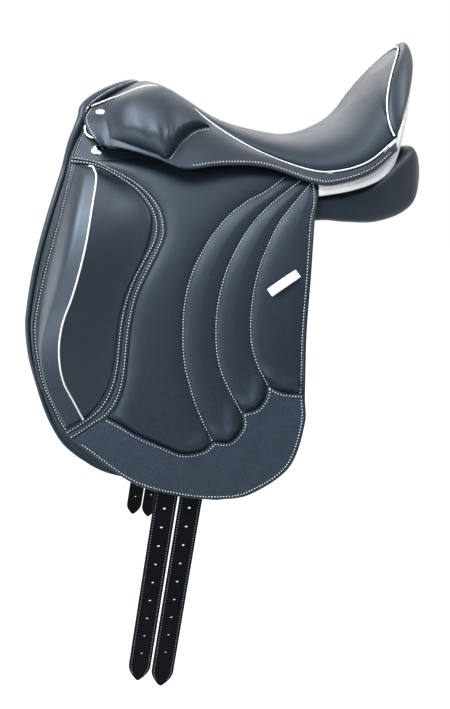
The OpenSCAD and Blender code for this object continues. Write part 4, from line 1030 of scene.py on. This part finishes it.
def grip_mesh():
    """Grip piece: rows from its scalloped upper edge to its edge along the foot of the flap."""
    share = np.linspace(0, 1, 260)
    top = np.concatenate([np.array(STRIP_OUTER[:STRIP_CORNER:-1], float), scallop_line()])
    xz = ruled(along(top, share) + [0, -GRIP_GAP], along(trace(GRIP_LOW, 200), share), crowded(40))
    return on_flap_sheet(xz, FLAP_T + GRIP_TOP, GRIP_T)


def quilt_grid():
    """Quilted part of the flap in X and Z: a patch between the strip, the skirt, the rear seam and the
    scallops, each point the sum of both rulings less the ruling of the corners."""
    s, t = np.linspace(0, 1, 210), np.linspace(0, 1, 170)
    left = along(trace(STRIP_OUTER[1:STRIP_CORNER + 1], 200), t)
    right = along(trace(QUILT_LINES[3], 100), t)
    top = along(np.array([left[0], *QUILT_TOP[1:-1], right[0]]), s)
    low = along(scallop_line(), s)
    left, right = left + (low[0] - left[-1]) * t[:, None], right + (low[-1] - right[-1]) * t[:, None]
    a, b = s[None, :, None], t[:, None, None]
    corners = (1 - a) * (1 - b) * top[0] + a * (1 - b) * top[-1] + (1 - a) * b * low[0] + a * b * low[-1]
    return (1 - a) * left[:, None] + a * right[:, None] + (1 - b) * top[None] + b * low[None] - corners


def quilt_height(xz, high):
    """Height of the quilting over the flap: it swells away from each sewn line, most above the scallops."""
    low = near_line(xz, scallop_line())
    sewn = np.minimum.reduce([near_line(xz, trace(line, 60)) for line in QUILT_LINES])
    strip = near_line(xz, trace(STRIP_OUTER, 60))
    rise = (1 - np.exp(-sewn / 8)) * (1 - np.exp(-((low / 6) ** 2))) * (1 - 0.75 * np.exp(-strip / 8))
    groove = 0.9 * (1 - np.exp(-((sewn / 1.3) ** 2))) * (1 - np.exp(-low / 2)) * (1 - np.exp(-strip / 3))
    edge = 1 - np.exp(-near_line(xz, np.array(QUILT_TOP, float)) / 6)
    return 0.06 + edge * (groove + high * rise * (1 + 1.3 * np.exp(-(((low - 9) / 10) ** 2))))


def quilt_mesh(high):
    """Quilted leather: the swelled face over the flap, and a flat face sunk in it."""
    xz = quilt_grid()
    return shell(on_flap(xz, FLAP_T + quilt_height(xz, high)), on_flap(xz, FLAP_T - QUILT_SUNK))


def keeper_mesh():
    """Loop on the flap: a flat rounded section with a crease, carried over an arch with two feet."""
    s = np.linspace(-1, 1, 61)
    foot = np.clip((1 - np.abs(s)) / KEEPER_FOOT, 0, 1)
    arch = KEEPER_RISE * (3 * foot**2 - 2 * foot**3)
    a = ring_angles(28)
    p = np.sign(np.cos(a)) * np.abs(np.cos(a)) ** 0.45
    q = np.sign(np.sin(a)) * np.abs(np.sin(a)) ** 0.6
    crease = -KEEPER_CREASE * np.exp(-((p - 0.45) / 0.14) ** 2) * (q > 0)
    x, y = (KEEPER_L / 2 * s)[:, None, None], (KEEPER_W / 2 * p)[None, :, None]
    z = (arch[:, None] + KEEPER_T / 2 + (KEEPER_T / 2 * q + crease)[None])[..., None]
    base = np.array(KEEPER, float)
    out = flap_out(base)
    run = np.array([math.cos(FLAP_SPREAD), math.sin(FLAP_SPREAD), 0])
    rise = np.cross(run, out)
    rise = rise * np.sign(rise[2])
    c, sn = math.cos(KEEPER_TURN), math.sin(KEEPER_TURN)
    rings = on_flap(base, KEEPER_OFF) + (x * c - y * sn) * run + (x * sn + y * c) * rise + z * out
    first, last = (0 * end + end.mean(axis=1, keepdims=True) for end in (rings[:1], rings[-1:]))
    rings = np.concatenate([first, rings, last])
    return rings.reshape(-1, 3), quads(*rings.shape[:2], True)


# The girth straps and the panels

def tail_frame(x):
    """Origin and directions of a hanging tail: across, out of it and up along it, by three turns."""
    def turn(axis, angle):
        c, s = math.cos(angle), math.sin(angle)
        return np.array({"x": [[1, 0, 0], [0, c, -s], [0, s, c]], "y": [[c, 0, s], [0, 1, 0], [-s, 0, c]],
                         "z": [[c, -s, 0], [s, c, 0], [0, 0, 1]]}[axis])
    axes = turn("z", FLAP_SPREAD) @ turn("y", STRAP_SLANT) @ turn("x", TAIL_OUT)
    return on_flap(np.array([x, STRAP_BOTTOM_Z], float), STRAP_OFF), axes.T


def strap_point(x, across, up, high):
    """Point of a strap: over the flap's surface above the bend, and on the tail's plane below it."""
    origin, (wide, out, rise) = tail_frame(x)
    c, s = math.cos(STRAP_SLANT), math.sin(STRAP_SLANT)
    xz = (np.array([x, STRAP_BOTTOM_Z]) + np.array([s, c]) * np.maximum(up, 0)[..., None]
          + np.array([c, -s]) * across[..., None])
    above = on_flap(xz, STRAP_OFF + high)
    below = (origin + across[..., None] * wide + np.minimum(up, 0)[..., None] * rise
             + np.asarray(high)[..., None] * out)
    return np.where((up >= 0)[..., None], above, below)


def strap_half_width(up, length):
    """Half width of a strap: even, then drawn in to a pointed round tip."""
    t = np.clip((TIP_L - (length + up)) / TIP_L, 0, 1)
    c = np.sqrt(np.maximum(1 - t**2, 0))
    return STRAP_W / 2 * c * (0.55 + 0.45 * c**2)


def strap_mesh(x, length):
    """Strap leather: rows up the strap, each as wide as the outline there, with rounded edges."""
    reach = (STRAP_TOP_Z - STRAP_BOTTOM_Z) / math.cos(STRAP_SLANT)
    up = np.concatenate([-length + TIP_L * (1 - np.cos(0.5 * np.pi * np.linspace(0, 1, 26))),
                         np.linspace(TIP_L - length, 0, 120)[1:], np.linspace(0, reach, 60)[1:]])
    across = strap_half_width(up, length)[:, None] * (2 * crowded(34) - 1)[None]
    rise = np.broadcast_to(up[:, None], across.shape)
    drop = rounding(border_distance(strap_point(x, across, rise, 0 * across)), STRAP_ROUND)
    return shell(*(strap_point(x, across, rise, sign * (STRAP_T / 2 - drop)) for sign in (1, -1)))


def hole_pins(x):
    """Round pins through the strap at the buckle holes: four rings each, the end ones drawn to a point."""
    origin, (wide, out, rise) = tail_frame(x)
    a = ring_angles(PIN_SIDES)[:, None]
    ring = HOLE_R * (np.cos(a) * wide + np.sin(a) * rise)
    centres = origin - (HOLE_FIRST + HOLE_PITCH * np.arange(HOLE_COUNT))[:, None] * rise
    ends = np.array([-PIN_REACH, -PIN_REACH, PIN_REACH, PIN_REACH])[:, None, None] * out
    pins = centres[:, None, None] + (ends + np.array([0, 1, 1, 0])[:, None, None] * ring[None])[None]
    return pins.reshape(-1, 3), repeated(quads(4, PIN_SIDES, True), 4 * PIN_SIDES, HOLE_COUNT)


def strap_rows(x, length, sizes):
    """Two sewn rows down a strap, a step in from its edges."""
    up = np.linspace(12, 9 - length, 200)
    wide = strap_half_width(up, length) - STRAP_SEWN_IN
    out = np.broadcast_to(tail_frame(x)[1][1], (len(up), 3))
    return joined([stitches(strap_point(x, s * wide, up, 0 * up + STRAP_T / 2), out, sizes) for s in (-1, 1)])


def panel_mesh():
    """Panel: stations along the saddle, each a rounded four-cornered ring blended from its corners."""
    last = len(PANEL) - 1
    s = curve(PANEL, np.concatenate([[0], np.linspace(0, last, 90), [last]]))
    a = 2 * np.pi * (np.arange(64) + 0.5) / 64
    p, q = (np.sign(f(a)) * np.abs(f(a)) ** PANEL_ROUND for f in (np.cos, np.sin))
    corner = s[:, 1:].reshape(-1, 4, 2)
    weight = np.stack([(1 - p) * (1 + q), (1 + p) * (1 + q), (1 + p) * (1 - q), (1 - p) * (1 - q)]) / 4
    yz = np.einsum("ka,rkc->rac", weight, corner)
    yz[[0, -1]] = yz[[0, -1]].mean(axis=1, keepdims=True)
    rings = np.concatenate([np.broadcast_to(s[:, None, :1], (*yz.shape[:2], 1)), yz], -1)
    return rings.reshape(-1, 3), quads(*rings.shape[:2], True)


# Bodies

def describe(obj, slot, stands_for=(), fill=None):
    """Hides the parts of the model that a piece stands for; the slot and the fill are not used."""
    if stands_for:
        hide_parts(*stands_for)


def settle(obj, body, *facts):
    """Rides a piece on its body and hides the parts that it stands for."""
    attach(obj, body)
    describe(obj, *facts)


def blend_at(obj):
    """Bakes a piece's transform into its points."""
    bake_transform(obj)


def settle_on_flap(obj, side, *facts):
    """Hides the parts that a piece stands for and bakes its transform into its points."""
    describe(obj, *facts)
    blend_at(obj)


def settle_on_strap(obj, side, place, x, *facts):
    """Hides the parts that a piece stands for and bakes its transform into its points."""
    describe(obj, *facts)
    origin, axes = tail_frame(x)
    blend_at(obj)


# Operators

class SADDLE_OT_seat(bpy.types.Operator):
    """Makes the seat, the cantle, the foam, the front rim, the skirts and their pads"""

    bl_idname = "saddle.seat"
    bl_label = "Seat and skirts"

    def execute(self, context):
        calf = finish("calf_leather")
        seat = new_piece("seat_leather", padded_cover(*SEAT_STATIONS), calf)
        settle(seat, "saddle", "seat_leather", ["seat_cover"], 0.8)
        cantle = new_piece("cantle_leather", padded_cover(*CANTLE_STATIONS), calf)
        settle(cantle, "saddle", "seat_leather", ["cantle_cover"], 0.8)
        foam = new_piece("foam_filling", seat_foam(), finish("saddle_foam"))
        settle(foam, "saddle", "seat_foam", ["seat_foam"], 0.9)
        path, wide = whole_rim()
        roll = new_piece("front_rim", tube(path, (1, 0, 0), wide, 20, RIM_FLAT), calf)
        settle(roll, "saddle", "seat_leather", ["front_roll"], 0.9)
        flat_mesh, pad_mesh = skirt(), skirt_pad()
        for side, sign in SIDES.items():
            flat = new_piece(f"{side}_skirt_leather", flat_mesh, calf, sign)
            settle(flat, "saddle", "seat_leather", [f"{side}_skirt"])
            pad = new_piece(f"{side}_pad_leather", pad_mesh, calf, sign, sharp=70)
            settle(pad, "saddle", "seat_leather", [f"{side}_skirt_pad"], 0.8)
        return {"FINISHED"}


class SADDLE_OT_flaps(bpy.types.Operator):
    """Makes the flaps with their quilting, grip pieces, strips and sweat flaps"""

    bl_idname = "saddle.flaps"
    bl_label = "Flaps"

    def execute(self, context):
        sizes = context.scene.saddle_sizes
        hide, grained = finish("waxed_flap_leather"), finish("pebbled_grip_leather")
        main_leather, quilting = flap_mesh(sizes.edge_radius / MM), quilt_mesh(sizes.quilt_height / MM)
        for side, sign in SIDES.items():
            flap = new_piece(f"{side}_flap_leather", main_leather, hide, sign)
            settle_on_flap(flap, side, "flap_leather", [f"{side}_flap", f"{side}_flap_head"])
            sweat = new_piece(f"{side}_sweat_leather", sweat_mesh(), hide, sign)
            settle(sweat, "saddle", "flap_leather", [f"{side}_sweat_flap"])
            quilt = new_piece(f"{side}_quilted_leather", quilting, hide, sign, sharp=80)
            settle_on_flap(quilt, side, "flap_leather", [f"{side}_quilting"], 0.5)
            grip = new_piece(f"{side}_grip_leather", grip_mesh(), grained, sign)
            settle(grip, f"{side}_flap", "grip_leather", [f"{side}_grip_piece"])
            strip = new_piece(f"{side}_strip_leather", strip_mesh(), hide, sign)
            settle_on_flap(strip, side, "flap_leather", [f"{side}_block_strip"])
        return {"FINISHED"}


class SADDLE_OT_blocks(bpy.types.Operator):
    """Makes the knee blocks"""

    bl_idname = "saddle.blocks"
    bl_label = "Knee blocks"

    def execute(self, context):
        for side, sign in SIDES.items():
            block = new_piece(f"{side}_block_leather", block_mesh(), finish("block_leather"), sign, sharp=60)
            settle(block, f"{side}_flap", "flap_leather", [f"{side}_knee_block"], 0.9)
        return {"FINISHED"}


class SADDLE_OT_panels(bpy.types.Operator):
    """Makes the panels that lie on the horse"""

    bl_idname = "saddle.panels"
    bl_label = "Panels"

    def execute(self, context):
        hide = finish("matt_panel_leather")
        for side, sign in SIDES.items():
            panel = new_piece(f"{side}_panel_leather", panel_mesh(), hide, sign)
            for outline, width in ((LEG_CHANNEL, LEG_WIDTH), (POCKET_CHANNEL, POCKET_WIDTH)):
                cut_away(panel, new_piece("channel", prism(outline, *width), hide, sign))
            settle(panel, "saddle", "panel_leather", [f"{side}_panel"], 0.85)
        return {"FINISHED"}


class SADDLE_OT_straps(bpy.types.Operator):
    """Makes the girth straps with their buckle holes"""

    bl_idname = "saddle.straps"
    bl_label = "Girth straps"

    def execute(self, context):
        hide = finish("greased_strap_leather")
        for side, sign in SIDES.items():
            for place, (x, length) in STRAPS.items():
                name = f"{side}_{place}_strap"
                strap = new_piece(f"{name}_leather", strap_mesh(x, length), hide, sign)
                cut_away(strap, new_piece("pins", hole_pins(x), hide, sign))
                settle_on_strap(strap, side, place, x, "strap_leather", [name, f"{name}_tail"])
        return {"FINISHED"}


class SADDLE_OT_trim(bpy.types.Operator):
    """Makes the piping, the nails, the rear facing and the loops on the flaps"""

    bl_idname = "saddle.trim"
    bl_label = "Piping and facing"

    def execute(self, context):
        radius = context.scene.saddle_sizes.piping_radius / MM
        white, patent = finish("white_piping_leather"), finish("white_patent_leather")
        cantle = new_piece("cantle_piping_leather", tube(cantle_piping_path(radius), (1, 0, 0), radius), white)
        settle(cantle, "saddle", "white_piping", ["cantle_piping"])
        points, faces = oval_nail()
        both = joined([(points, faces), (points * MIRROR, faces[:, ::-1])])
        nails = new_piece("oval_nails", both, finish("white_enamel"))
        settle(nails, "saddle", "chrome", ["saddle_nails"])
        facing = new_piece("facing_leather", rear_facing(), patent)
        settle(facing, "saddle", "white_patent", ["rear_facing"])
        for side, sign in SIDES.items():
            line = new_piece(f"{side}_welt_leather", tube(welt_path(), (0, 0, 1), radius), white, sign)
            settle(line, "saddle", "white_piping", [f"{side}_welt"])
            ridge = new_piece(f"{side}_block_piping_leather", tube(block_ridge(), (0, 1, 0), radius), white, sign)
            settle(ridge, f"{side}_flap", "white_piping", [f"{side}_block_piping"])
            loop = new_piece(f"{side}_loop_leather", keeper_mesh(), patent, sign, sharp=60)
            settle(loop, f"{side}_flap", "white_patent", [f"{side}_keeper"])
        return {"FINISHED"}


class SADDLE_OT_stitching(bpy.types.Operator):
    """Makes the rows of stitches"""

    bl_idname = "saddle.stitching"
    bl_label = "Stitching"

    def execute(self, context):
        sizes = context.scene.saddle_sizes
        thread, waxed = finish("polyester_thread"), finish("waxed_linen_thread")
        quilt_rows, grip_rows, skirt_rows = self.quilt_rows(sizes), self.grip_rows(sizes), self.skirt_rows(sizes)
        for side, sign in SIDES.items():
            quilt = new_piece(f"{side}_quilt_stitches", quilt_rows, thread, sign)
            settle_on_flap(quilt, side, "white_piping")
            grip = new_piece(f"{side}_grip_stitches", grip_rows, thread, sign)
            settle(grip, f"{side}_flap", "white_piping")
            skirts = new_piece(f"{side}_skirt_stitches", skirt_rows, thread, sign)
            settle(skirts, "saddle", "white_piping")
            for place, (x, length) in STRAPS.items():
                strap = new_piece(f"{side}_{place}_strap_stitches", strap_rows(x, length, sizes), waxed, sign)
                settle_on_strap(strap, side, place, x, "white_piping")
        rim = new_piece("front_rim_stitches", stitches(*rim_row(), sizes), thread)
        settle(rim, "saddle", "white_piping")
        return {"FINISHED"}

    def flap_row(self, xz, off, sizes):
        """Row on the flap along a line in X and Z, at a height over its inner face."""
        return stitches(on_flap(xz, off), flap_out(xz), sizes)

    def quilt_rows(self, sizes):
        """Rows on the quilted lines, inside the flap's front edge and on the strip behind the block."""
        high = sizes.quilt_height / MM
        front = np.concatenate([np.array(TAB_FRONT[1:] + TOP_FRONT[1:-1], float), trace(FRONT_EDGE, 120)])
        edge = inset(trace(along(front, np.linspace(0, 1, 60)), 240), FLAP_SEWN_IN)
        edge = edge[edge[:, 1] > FLAP_SEWN_Z]
        lines = [trace(line, 160) for line in QUILT_LINES]
        rows = [self.flap_row(line, FLAP_T + 0.5 + quilt_height(line, high), sizes) for line in lines]
        rows += [self.flap_row(edge, FLAP_T, sizes)]
        return joined(rows + [self.flap_row(strip_line(d), FLAP_T + STRIP_TOP, sizes) for d in STRIP_SEWN])

    def grip_rows(self, sizes):
        """Rows inside the lower and the scalloped edge of the grip piece."""
        low = inset(along(trace(GRIP_LOW, 200), np.linspace(0.03, 0.985, 200)), GRIP_SEWN_LOW)
        top = inset(scallop_line(), -GRIP_SEWN_TOP)
        return joined([self.flap_row(line, FLAP_T + GRIP_TOP, sizes) for line in (low, top)])

    def skirt_rows(self, sizes):
        """Rows inside the lower and the front edge of the skirt, and below the rear of its pad."""
        u = np.linspace(SKIRT_SEWN_U, 8.75, 280)
        f = np.linspace(0.6, 0.97, 60)
        rows = [skirt_at(u, 1 - SKIRT_SEWN_IN / skirt_width(u)),
                skirt_at(np.full(40, 0.12), np.linspace(0.08, 0.93, 40)),
                skirt_at(PAD_FROM + (PAD_TO - PAD_FROM) * (f + 0.02), pad_low(f) + 0.04, 0.2)]
        return joined([stitches(*row, sizes) for row in rows])


class SADDLE_OT_fittings(bpy.types.Operator):
    """Gives the tree, the metal fittings, the webs, the pockets and the chapes their materials"""

    bl_idname = "saddle.fittings"
    bl_label = "Fittings"

    def execute(self, context):
        finishes = {
            "laminated_beech": ["tree"],
            "tempered_steel": ["head_plate", "spring_steels"],
            "copper": ["tree_rivets"],
            "canvas_webbing": ["seat_webs", "girth_webs"],
            "stainless_steel": ["near_stirrup_bar", "off_stirrup_bar", "near_bar_catch", "off_bar_catch"],
            "chromed_brass": ["flap_studs", "near_d_ring", "off_d_ring"],
            "greased_strap_leather": ["point_pockets", "d_ring_chapes"],
        }
        for name, nodes in finishes.items():
            for part in nodes:
                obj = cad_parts[part]
                obj.data.materials.clear()
                obj.data.materials.append(finish(name))
        return {"FINISHED"}


class SADDLE_OT_stage(bpy.types.Operator):
    """Makes the floor, the lights, the background and the camera"""

    bl_idname = "saddle.stage"
    bl_label = "Stage"

    def execute(self, context):
        scene = context.scene
        scene.view_settings.view_transform = "Standard"
        self.camera(scene)
        self.floor(scene)
        for name, values in LIGHTS.items():
            self.light(scene, name, *values)
        self.world(scene)
        return {"FINISHED"}

    def face(self, obj, place, look):
        """Puts a camera or light at a place and turns it to look in a direction."""
        obj.location = place
        obj.rotation_mode = "QUATERNION"
        obj.rotation_quaternion = look.to_track_quat("-Z", "Y")

    def camera(self, scene):
        """Camera at the photograph's viewing angle: turned about the vertical, then tipped down."""
        camera = bpy.data.cameras.new("camera")
        camera.lens, camera.sensor_width = LENS_MM, SENSOR_MM
        eye = bpy.data.objects.new("camera", camera)
        scene.collection.objects.link(eye)
        level = math.cos(CAMERA_PITCH)
        self.face(eye, CAMERA_AT, Vector((math.sin(CAMERA_TURN) * level, math.cos(CAMERA_TURN) * level,
                                          math.sin(CAMERA_PITCH))))
        scene.camera = eye

    def light(self, scene, name, place, size, power):
        """Square soft light that looks at the middle of the saddle."""
        lamp = bpy.data.lights.new(name, "AREA")
        lamp.size, lamp.energy = size, power
        obj = bpy.data.objects.new(name, lamp)
        scene.collection.objects.link(obj)
        self.face(obj, place, Vector(LIGHT_AIM) - Vector(place))

    def shown(self, tree):
        """One for rays from the camera, off gloss and through glass, which see the white background."""
        rays = node(tree, "ShaderNodeLightPath").outputs
        seen = rays["Is Camera Ray"]
        for kind in ("Is Transmission Ray", "Is Glossy Ray"):
            seen = node(tree, "ShaderNodeMath", {0: seen, 1: rays[kind]}, operation="MAXIMUM").outputs[0]
        return seen

    def floor(self, scene):
        """Pale round floor: rings out from the middle, white where it is shown, a little less so under the
        saddle, and grey to the rays that light it."""
        r = FLOOR_R * np.linspace(0, 1, FLOOR_RINGS)[:, None, None]
        a = ring_angles(FLOOR_SPOKES)
        disc = r * np.stack([np.cos(a), np.sin(a), 0 * a], -1)[None] + np.array([0, 0, FLOOR_Z])
        material, tree, shader, place = new_material("studio_floor")
        shader.inputs["Base Color"].default_value = rgba(linear("#8a8b8c"))
        shader.inputs["Roughness"].default_value = 0.9
        away = node(tree, "ShaderNodeVectorMath", {0: place}, operation="LENGTH")
        pale = node(tree, "ShaderNodeMapRange", {
            "Value": away.outputs["Value"], "From Min": 0.9, "From Max": 2.4, "To Min": 0.84, "To Max": 1.0},
            interpolation_type="SMOOTHSTEP")
        level = node(tree, "ShaderNodeMath", {0: self.shown(tree), 1: pale.outputs["Result"]},
                     operation="MULTIPLY")
        tree.links.new(level.outputs[0], shader.inputs["Emission Strength"])
        shader.inputs["Emission Color"].default_value = (1, 1, 1, 1)
        mesh = bpy.data.meshes.new("studio_floor")
        faces = quads(FLOOR_RINGS, FLOOR_SPOKES, True)[:, ::-1]
        mesh.from_pydata(disc.reshape(-1, 3).tolist(), [], faces.tolist())
        mesh.validate()
        mesh.materials.append(material)
        obj = bpy.data.objects.new("studio_floor", mesh)
        scene.collection.objects.link(obj)

    def world(self, scene):
        """White where it is shown; to the rays that light the saddle a soft studio, light above and in front,
        dim below and behind."""
        world = bpy.data.worlds.new("studio")
        scene.world = world
        world.use_nodes = True
        tree = world.node_tree
        tree.nodes.clear()
        way = node(tree, "ShaderNodeTexCoord").outputs["Generated"]
        toward = node(tree, "ShaderNodeVectorMath", {0: way, 1: STUDIO_FRONT}, operation="DOT_PRODUCT")
        share = node(tree, "ShaderNodeMapRange", {
            "Value": toward.outputs["Value"], "From Min": -0.2, "From Max": 0.85},
            interpolation_type="SMOOTHSTEP")
        tint = node(tree, "ShaderNodeMix", {
            0: share.outputs["Result"], 6: rgba(linear("#23262a")), 7: rgba(linear("#cfe0f2"))},
            data_type="RGBA")
        studio = node(tree, "ShaderNodeBackground", {"Color": tint.outputs[2], "Strength": STUDIO_LEVEL})
        white = node(tree, "ShaderNodeBackground", {"Color": (1, 1, 1, 1), "Strength": 1.0})
        both = node(tree, "ShaderNodeMixShader", {
            0: self.shown(tree), 1: studio.outputs[0], 2: white.outputs[0]})
        node(tree, "ShaderNodeOutputWorld", {"Surface": both.outputs[0]})


class SADDLE_PT_panel(bpy.types.Panel):
    """Lists the sizes, the colours and the steps"""

    bl_label = "Dressage saddle"
    bl_idname = "SADDLE_PT_panel"
    bl_space_type = "VIEW_3D"
    bl_region_type = "UI"
    bl_category = "Saddle"

    def draw(self, context):
        for group in (context.scene.saddle_sizes, context.scene.saddle_colours):
            for name in group.__annotations__:
                self.layout.prop(group, name)
        for step in STEPS:
            self.layout.operator(step.bl_idname)


STEPS = (SADDLE_OT_stage, SADDLE_OT_seat, SADDLE_OT_flaps, SADDLE_OT_blocks, SADDLE_OT_panels, SADDLE_OT_straps,
         SADDLE_OT_trim, SADDLE_OT_stitching, SADDLE_OT_fittings)
CLASSES = (SaddleSizes, SaddleColours, *STEPS, SADDLE_PT_panel)


def register():
    """Registers the classes and hangs the settings on the scene."""
    for cls in CLASSES:
        bpy.utils.register_class(cls)
    bpy.types.Scene.saddle_sizes = PointerProperty(type=SaddleSizes)
    bpy.types.Scene.saddle_colours = PointerProperty(type=SaddleColours)


def unregister():
    """Takes the settings off the scene and the classes out of Blender."""
    del bpy.types.Scene.saddle_sizes, bpy.types.Scene.saddle_colours
    for cls in reversed(CLASSES):
        bpy.utils.unregister_class(cls)


def main():
    """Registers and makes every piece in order."""
    register()
    bpy.ops.saddle.stage()
    bpy.ops.saddle.seat()
    bpy.ops.saddle.flaps()
    bpy.ops.saddle.blocks()
    bpy.ops.saddle.panels()
    bpy.ops.saddle.straps()
    bpy.ops.saddle.trim()
    bpy.ops.saddle.stitching()
    bpy.ops.saddle.fittings()


if __name__ == "__main__":
    main()
